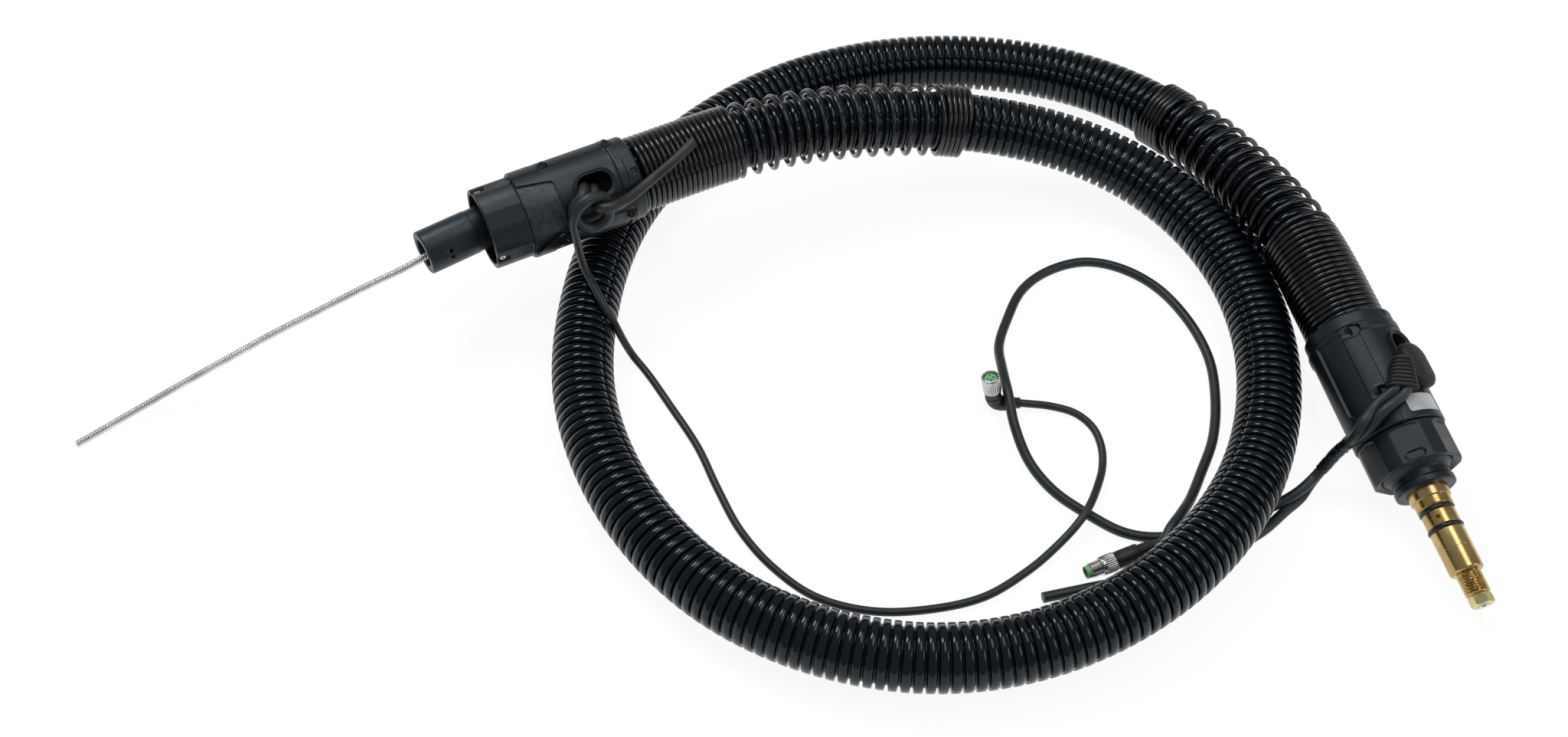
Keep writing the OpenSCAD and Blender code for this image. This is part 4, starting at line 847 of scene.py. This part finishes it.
barrel_profile = rounded(
    [(-50, 0.05), (-50, 11.75), (-28.3, 11.75), (-28, 12.05), (0, 12.05), (0, 7.9), (-0.8, 7.7),
     (-30, 7.7), (-30, 0.05)], [0, 0.5, 0.1, 0.1, 0.9, 0.3, 0.3, 0, 0])
piece("barrel_tube", *turned_solid(barrel_profile), barrel_finish, ["torch_barrel"], "barrel",
      at=placed(BARREL_AT, BARREL_YAW), cuts=drilled(-12, 1.2, (67, 86), 4, 16))

COLLAR_X = 95.9
PIN_R, O_RING_X, GROOVE_HALF, GROOVE_FLOOR, CROSS_HOLE_X = 8.3, (106.9, 116.9), 1.25, 7.1, 111.9
collar = [
    (50.5, 13.9), (50.5, 22.0), (65.2, 22.0), (65.2, 17.75), (85.0, 17.75), (85.9, 16.6),
    (87.6, 14.5), (91.6, 14.5), (92.2, 15.2), (COLLAR_X, 15.2), (COLLAR_X, 10.1), (60, 10.1),
    (60, 13.9)]
collar_corners = [0, 0, 0.3, 0, 0.5, 0.5, 1.6, 0.4, 0.4, 1.1, 0.4, 0, 0, 0]
piece("collar_body", *ring_of(collar, collar_corners), collar_finish, ["pin_collar"], "collar",
      at=feeder_frame)


def pin_body():
    """Outline with grooves, chamfers and a thread cut helically into the end."""
    grooves = []
    for x in O_RING_X:
        grooves += [(x - GROOVE_HALF, PIN_R), (x - GROOVE_HALF, GROOVE_FLOOR),
                    (x + GROOVE_HALF, GROOVE_FLOOR), (x + GROOVE_HALF, PIN_R)]
    base = rounded(
        [(62, 2.3), (62, 10), (COLLAR_X + 5, 10), (COLLAR_X + 5, 9), (COLLAR_X + 9.4, 9),
         (COLLAR_X + 9.4, PIN_R)] + grooves
        + [(128, PIN_R), (128.3, 8.22), (139.6, 8.22), (140.4, 7.4), (140.4, 5.6)],
        [0, 0, 0.35, 0.2, 0.35, 0.2, 0.2, 0.1, 0.1, 0.2, 0.2, 0.1, 0.1, 0.2, 0.3, 0.3, 0.4, 0.2,
         0])
    xs = np.arange(140.6, 152.2, 0.14)

    def outline(phi):
        turn = (xs - 140.4) / 1.3 - phi / TAU
        tooth = 1 - np.abs(2 * (turn % 1) - 1)
        ease = step(140.4, 141.8, xs) * (1 - 0.6 * step(151.6, 152.3, xs))
        r = 5.32 + 0.73 * np.clip(tooth * 1.25, 0, 1) * ease
        end = [(152.4, 5.3), (152.7, 5.0), (152.7, 4.1), (141, 4.1), (141, 2.3)]
        return [tuple(q) for q in base] + list(zip(xs, r)) + end

    return around_x(outline, np.arange(144) * TAU / 144)


piece("power_pin_body", *pin_body(), brass_finish, ["power_pin"], "brass", at=feeder_frame,
      sharp=36, cuts=drilled(CROSS_HOLE_X, 1, (-35, 85, 205), 4, 12))


def o_rings():
    """Two seal rings, a little wider along the pin than their section is high."""
    verts, faces = [], []
    for x0 in O_RING_X:
        base = len(verts)
        for k in range(96):
            a = k * TAU / 96
            for j in range(20):
                t = j * TAU / 20
                r = 8.0 + 0.9 * math.cos(t)
                verts.append((x0 + 1.22 * math.sin(t), r * math.sin(a), r * math.cos(a)))
        faces += [tuple(base + i for i in f) for f in grid_faces(96, 20, wrap_m=True)]
    return verts, faces


piece(
    "pin_seal_rings", *o_rings(), ring_finish, ["pin_o_rings"], "o_ring", at=feeder_frame,
    sharp=80)


def hex_outline(phi):
    a = math.degrees(phi) % 60 - 30
    flat = 5.0 / math.cos(math.radians(a))
    xs = np.array([152.8, 152.9, 153.2, 154, 156, 157.0, 157.3, 157.55, 157.6])
    limit = np.array([5.35, 5.45, 5.62, 5.78, 5.78, 5.7, 5.5, 5.2, 5.0])
    shank = [(142.2, 2.46), (142.2, 3.95), (152.8, 3.95)]
    hole = [(157.6, 3.2), (157.1, 2.6), (157.1, 2.46)]
    return shank + list(zip(xs, np.minimum(flat, limit))) + hole


piece("liner_screw_body", *around_x(hex_outline, np.arange(144) * TAU / 144), hex_finish,
      ["liner_screw"], "brass", body="liner_screw", at=feeder_frame, sharp=30)


# ---- Cap, strain relief, wrap and label at the feeder end ----
def cap_mesh():
    """Cap over the port: (height, length, width) of its ovals, the neck's round another centre."""
    sizes = [
        (20.2, 12, 11.8), (24.3, 12, 11.8), (24.42, 22, 14.6), (24.45, 25.2, 16.6),
        (24.8, 26.0, 17.0), (26.4, 26.0, 17.0), (27.3, 25.6, 16.7), (27.9, 24.8, 15.9),
        (28.6, 23.2, 14.3), (29.2, 20.6, 11.7), (29.6, 17.0, 8.4), (29.8, 13.0, 4.6)]
    rings = []
    for z, length, width in sizes:
        line = oval(length, width, 64, cx=37.5 if z > 24.35 else 29.4)
        rings.append(np.array([(x, y, z) for x, y in line]))
    return tube_mesh(rings)


piece(
    "port_cap_dome", *cap_mesh(), rubber_finish, ["port_cap"], "rubber", at=feeder_rolled,
    sharp=50)


RELIEF_FROM, RELIEF_TO = (35, -12.2, 26.5), (50.7, -17.2, 22.3)


def relief_mesh():
    length = float(np.linalg.norm(np.array(RELIEF_TO) - np.array(RELIEF_FROM)))
    ribs, wave = 8, ((0.02, 0.0), (0.2, 0.0), (0.32, 0.72), (0.42, 1.0), (0.82, 1.0), (0.92, 0.72))
    rings = []
    for k in range(ribs):
        for t, h in wave:
            z = (k + t) / ribs * length
            share = z / length
            w, high = 10 + 6 * share, 8.6 - share
            cut = 1.5 * (1 - h)
            rings.append([(x, y, z) for x, y in oval(w - cut, high - cut, 48)])
    rings.append([(x, y, length) for x, y in oval(15.2, 6.9, 48)])
    return tube_mesh(np.array(rings))


reach = Vector([b - a for a, b in zip(RELIEF_FROM, RELIEF_TO)])
relief_frame = (feeder_rolled @ Matrix.Translation(Vector(RELIEF_FROM) * MM)
                @ Matrix.Rotation(math.atan2(reach.y, reach.x), 4, "Z")
                @ Matrix.Rotation(math.acos(reach.z / reach.length), 4, "Y")
                @ Matrix.Rotation(math.radians(127), 4, "Z"))
piece(
    "ribbed_relief", *relief_mesh(), rubber_finish, ["strain_relief"], "rubber", at=relief_frame,
    sharp=44)


def wrap_mesh():
    """Tape wound round both cables: an oval sleeve with creases."""
    signal_part = through(SIGNAL_POINTS[4:9], 8)
    cut_part = through(CUT_POINTS[4:9], 8)
    n = 44

    def at(line, u):
        i = int(u)
        return line[i] + (u - i) * (line[min(i + 1, len(line) - 1)] - line[i])

    rings = []
    for f in np.linspace(0.25, 0.75, 40):
        u = f * (len(signal_part) - 1)
        i = int(u)
        a, b = at(signal_part, u), at(cut_part, u)
        way = unit(signal_part[min(i + 2, len(signal_part) - 1)] - signal_part[max(i - 1, 0)])
        up = unit(a - b)
        across = unit(np.cross(way, up))
        mid, half = (a + b) / 2, np.linalg.norm(a - b) / 2
        ring = []
        for k in range(n):
            t = TAU * k / n
            sign = 1 if math.cos(t) >= 0 else -1
            crease = noise.noise(Vector((3.1 * math.cos(t), 3.1 * math.sin(t), 26 * f)))
            fold = 0.22 * math.sin(TAU * (f * 9 + k / n))
            r = CABLE_D / 2 + 0.42 + 0.38 * crease + 0.12 * fold
            ring.append(mid + sign * half * up + r * (math.cos(t) * up - math.sin(t) * across))
        rings.append(ring)
    return tube_mesh(np.array(rings))


piece("tape_wrap", *wrap_mesh(), wrap_finish, ["cable_wrap"], "wrap", sharp=70)


def label_mesh():
    """Blank label bent round the shell, with round corners and a little thickness."""
    x0, x1, a0, a1, corner = 52.2, 61.8, -36.0, 12.0, 1.6
    arc_len = math.radians(a1 - a0) * PANEL_R
    w, h = (x1 - x0) / 2, arc_len / 2
    outline = []
    for cx, cy, start in ((w - corner, h - corner, 0), (-w + corner, h - corner, 90),
                          (-w + corner, -h + corner, 180), (w - corner, -h + corner, 270)):
        for t in np.radians(np.linspace(start, start + 90, 9)):
            outline.append((cx + corner * math.cos(t), cy + corner * math.sin(t)))
    dense_line = []
    for (xa, ya), (xb, yb) in zip(outline, outline[1:] + outline[:1]):
        k = max(1, int(math.hypot(xb - xa, yb - ya) / 0.8))
        dense_line += [(xa + (xb - xa) * i / k, ya + (yb - ya) * i / k) for i in range(k)]
    rings, top = [], PANEL_R + 0.18
    for scale, r in ((0.05, PANEL_R), (0.5, PANEL_R), (1, PANEL_R), (1, PANEL_R + 0.12),
                     (0.985, PANEL_R + 0.17), (0.75, top), (0.5, top), (0.25, top), (0.05, top)):
        ring = []
        for u, v in dense_line:
            a = math.radians((a0 + a1) / 2) + scale * v / PANEL_R
            ring.append(((x0 + x1) / 2 + scale * u, r * math.sin(a), r * math.cos(a)))
        rings.append(ring)
    return tube_mesh(np.array(rings))


piece(
    "blank_label", *label_mesh(), label_finish, ["feeder_label"], "label", at=feeder_rolled,
    sharp=40)


# ---- Round plugs ----
THREAD_BORE = 3.4


def knurl_outline(x0, x1, outer, inner, knurls, share=0.75, thread=None):
    """Ring from x0 to x1, knurled over a share of it; thread is (end, outside radius)."""
    def outline(phi):
        end = share * (x1 - x0)
        xs = np.array([0, 0.15, 0.5, 0.9, 1.5, end - 0.4, end, end + 0.5,
                       x1 - x0 - 0.5, x1 - x0 - 0.15, x1 - x0]) + x0
        cut = np.array([0, 0, 0.4, 1, 1, 1, 0.5, 0, 0, 0, 0])
        drop = np.array([0.5, 0.25, 0.05, 0, 0, 0, 0, 0, 0.05, 0.25, 0.5])
        wave = abs(math.sin(phi * knurls / 2))
        r = outer - drop - 0.38 * cut * (1 - wave) ** 1.3
        line = list(zip(xs, r))
        if thread:
            t = np.arange(x1 + 0.1, thread[0] - 0.3, 0.11)
            tooth = 1 - np.abs(2 * (((t - x1) / 1.0 - phi / TAU) % 1) - 1)
            line += list(zip(t, thread[1] - 0.5 * (1 - tooth)))
            line += [(thread[0] - 0.1, thread[1] - 0.5), (thread[0], thread[1] - 0.55),
                     (thread[0], THREAD_BORE), (x1 - 2, THREAD_BORE), (x1 - 2, inner), (x0, inner)]
        else:
            line += [(x1, inner + 0.3), (x1 - 0.3, inner), (x0, inner)]
        return line
    return outline


# The angled plug points along its own +Z: a quarter turn brings +X there
ANGLED_AT, STRAIGHT_AT = (126, -50, 5), (196.5, -140.5, 7)
angled_frame = placed(ANGLED_AT, 143, 14.6) @ Matrix.Rotation(-math.pi / 2, 4, "Y")
straight_frame = placed(STRAIGHT_AT, 201.8, 3.1)
knurl_angles = np.arange(216) * TAU / 216
piece(
    "angled_plug_ring", *around_x(knurl_outline(9.2, 19.7, 4.85, 3.56, 26), knurl_angles),
    nickel_finish, ["angled_plug_nut"], "plug_nut", body="angled_plug_nut", at=angled_frame,
    sharp=34)
piece(
    "straight_plug_ring",
    *around_x(knurl_outline(21, 29, 4.85, 3.06, 26, thread=(35, 4.0)), knurl_angles),
    nickel_finish, ["straight_plug_screw"], "plug_nut", body="straight_plug_screw",
    at=straight_frame, sharp=34)


def angled_body():
    """Elbow: ribbed grip on the cable, round leg, bend, stem with a waist, post in the nut."""
    at = np.array(ANGLED_AT, float)
    leg_x, stem_x = np.linspace(14, 4.6, 40), np.linspace(4.4, 10.4, 34)
    turn = angled_frame.to_3x3()
    up = np.array(turn @ Vector((1, 0, 0)))
    way = np.array((1.0, 0, 0))
    corner = [at + way * x for x in leg_x]
    bend = [(1 - t) ** 2 * (at + way * 4.6) + 2 * t * (1 - t) * at + t * t * (at + up * 4.2)
            for t in np.linspace(0.08, 0.92, 12)]
    stem = [at + up * x for x in stem_x]
    p = np.array(corner + bend + stem)
    r = []
    for x in leg_x:
        if x > 8.6:
            r.append(2.95 + 0.18 * math.cos(TAU * x / 1.35) - 0.9 * float(step(13.4, 14, x)))
        else:
            r.append(3.1 + 1.1 * float(step(8.6, 8.0, x)) if x > 8 else 4.2)
    r += [4.28] * 12
    for x in stem_x:
        waist = 0.3 * float(step(5.2, 5.6, x) * (1 - step(7.6, 8.0, x)))
        r.append(3.45 if x > 9.05 else 4.5 - waist)
    return tube_mesh(list(swept(p, np.array(r), 40)))


piece(
    "angled_plug_elbow", *angled_body(), plug_finish, ["angled_plug_body"], "plug_body", sharp=40)
straight_profile = [(0, 0.05), (0, 3.2)]
straight_profile += [(x, 3.5 + 0.2 * math.cos(TAU * x / 1.6)) for x in np.arange(0.3, 7.8, 0.2)]
straight_profile += [
    (8.0, 3.6), (8.1, 4.2), (8.5, 4.5), (10.8, 4.5), (11, 4.25), (11.5, 4.25), (11.7, 4.5),
    (18.8, 4.5), (19, 4.25), (19.6, 4.25), (19.8, 4.5), (20.2, 4.5), (20.5, 4.2), (20.5, 3.0),
    (27, 3.0), (27, 0.05)]
piece(
    "straight_plug_sleeve", *turned_solid(straight_profile, 64), plug_finish,
    ["straight_plug_body"], "plug_body", at=straight_frame, sharp=40)

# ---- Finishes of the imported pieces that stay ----
for names, finish in ((("torch_shell_screws", "feeder_shell_screws"), zinc_finish),
                      (("torch_ring_set_screws", "liner_end_sleeve"), steel_finish),
                      (("torch_cable_ferrule", "feeder_cable_ferrule"), steel_finish),
                      (("power_cable", "control_core"), inner_finish),
                      (("liner_core",), liner_finish),
                      (("angled_plug_carrier", "straight_plug_carrier"), green_finish),
                      (("straight_plug_pins",), gold_finish)):
    for name in names:
        NODES[name].data.materials.clear()
        NODES[name].data.materials.append(finish)


# ---- Floor and world ----
GLOW, FLOOR_WHITE = 1.08, 0.85


def white_for_camera(tree, other, white):
    """The camera and reflections see white over the lit colour, which keeps the shadows."""
    rays = tree.nodes.new("ShaderNodeLightPath").outputs
    most = rays["Is Camera Ray"]
    for key in ("Is Glossy Ray", "Is Transmission Ray"):
        most = reckoned(tree, "MAXIMUM", most, rays[key])
    mix = tree.nodes.new("ShaderNodeMixShader")
    glow = add(tree, "ShaderNodeEmission", Strength=GLOW)
    glow.inputs["Color"].default_value = (1, 1, 1, 1)
    tree.links.new(reckoned(tree, "MULTIPLY", most, white), mix.inputs[0])
    tree.links.new(other, mix.inputs[1])
    tree.links.new(glow.outputs[0], mix.inputs[2])
    return mix.outputs[0]


floor_mesh = bpy.data.meshes.new("floor")
floor_mesh.from_pydata([(-6, -6, 0), (6, -6, 0), (6, 6, 0), (-6, 6, 0)], [], [(0, 1, 2, 3)])
floor = added("floor", floor_mesh)
floor_made, floor_tree, floor_shader = graph("floor_white")
floor_shader.inputs["Base Color"].default_value = (0.9, 0.9, 0.9, 1)
floor_shader.inputs["Roughness"].default_value = 0.9
floor_shader.inputs["Specular IOR Level"].default_value = 0.1
floor_out = next(n for n in floor_tree.nodes if n.type == "OUTPUT_MATERIAL")
floor_tree.links.new(white_for_camera(floor_tree, floor_shader.outputs[0], FLOOR_WHITE),
                     floor_out.inputs["Surface"])
floor.data.materials.append(floor_made)

world = bpy.data.worlds.new("studio")
bpy.context.scene.world = world
world.use_nodes = True
sky = world.node_tree
ground = next(n for n in sky.nodes if n.type == "BACKGROUND")
ground.inputs["Color"].default_value = (1, 1, 1, 1)
ground.inputs["Strength"].default_value = 0.3
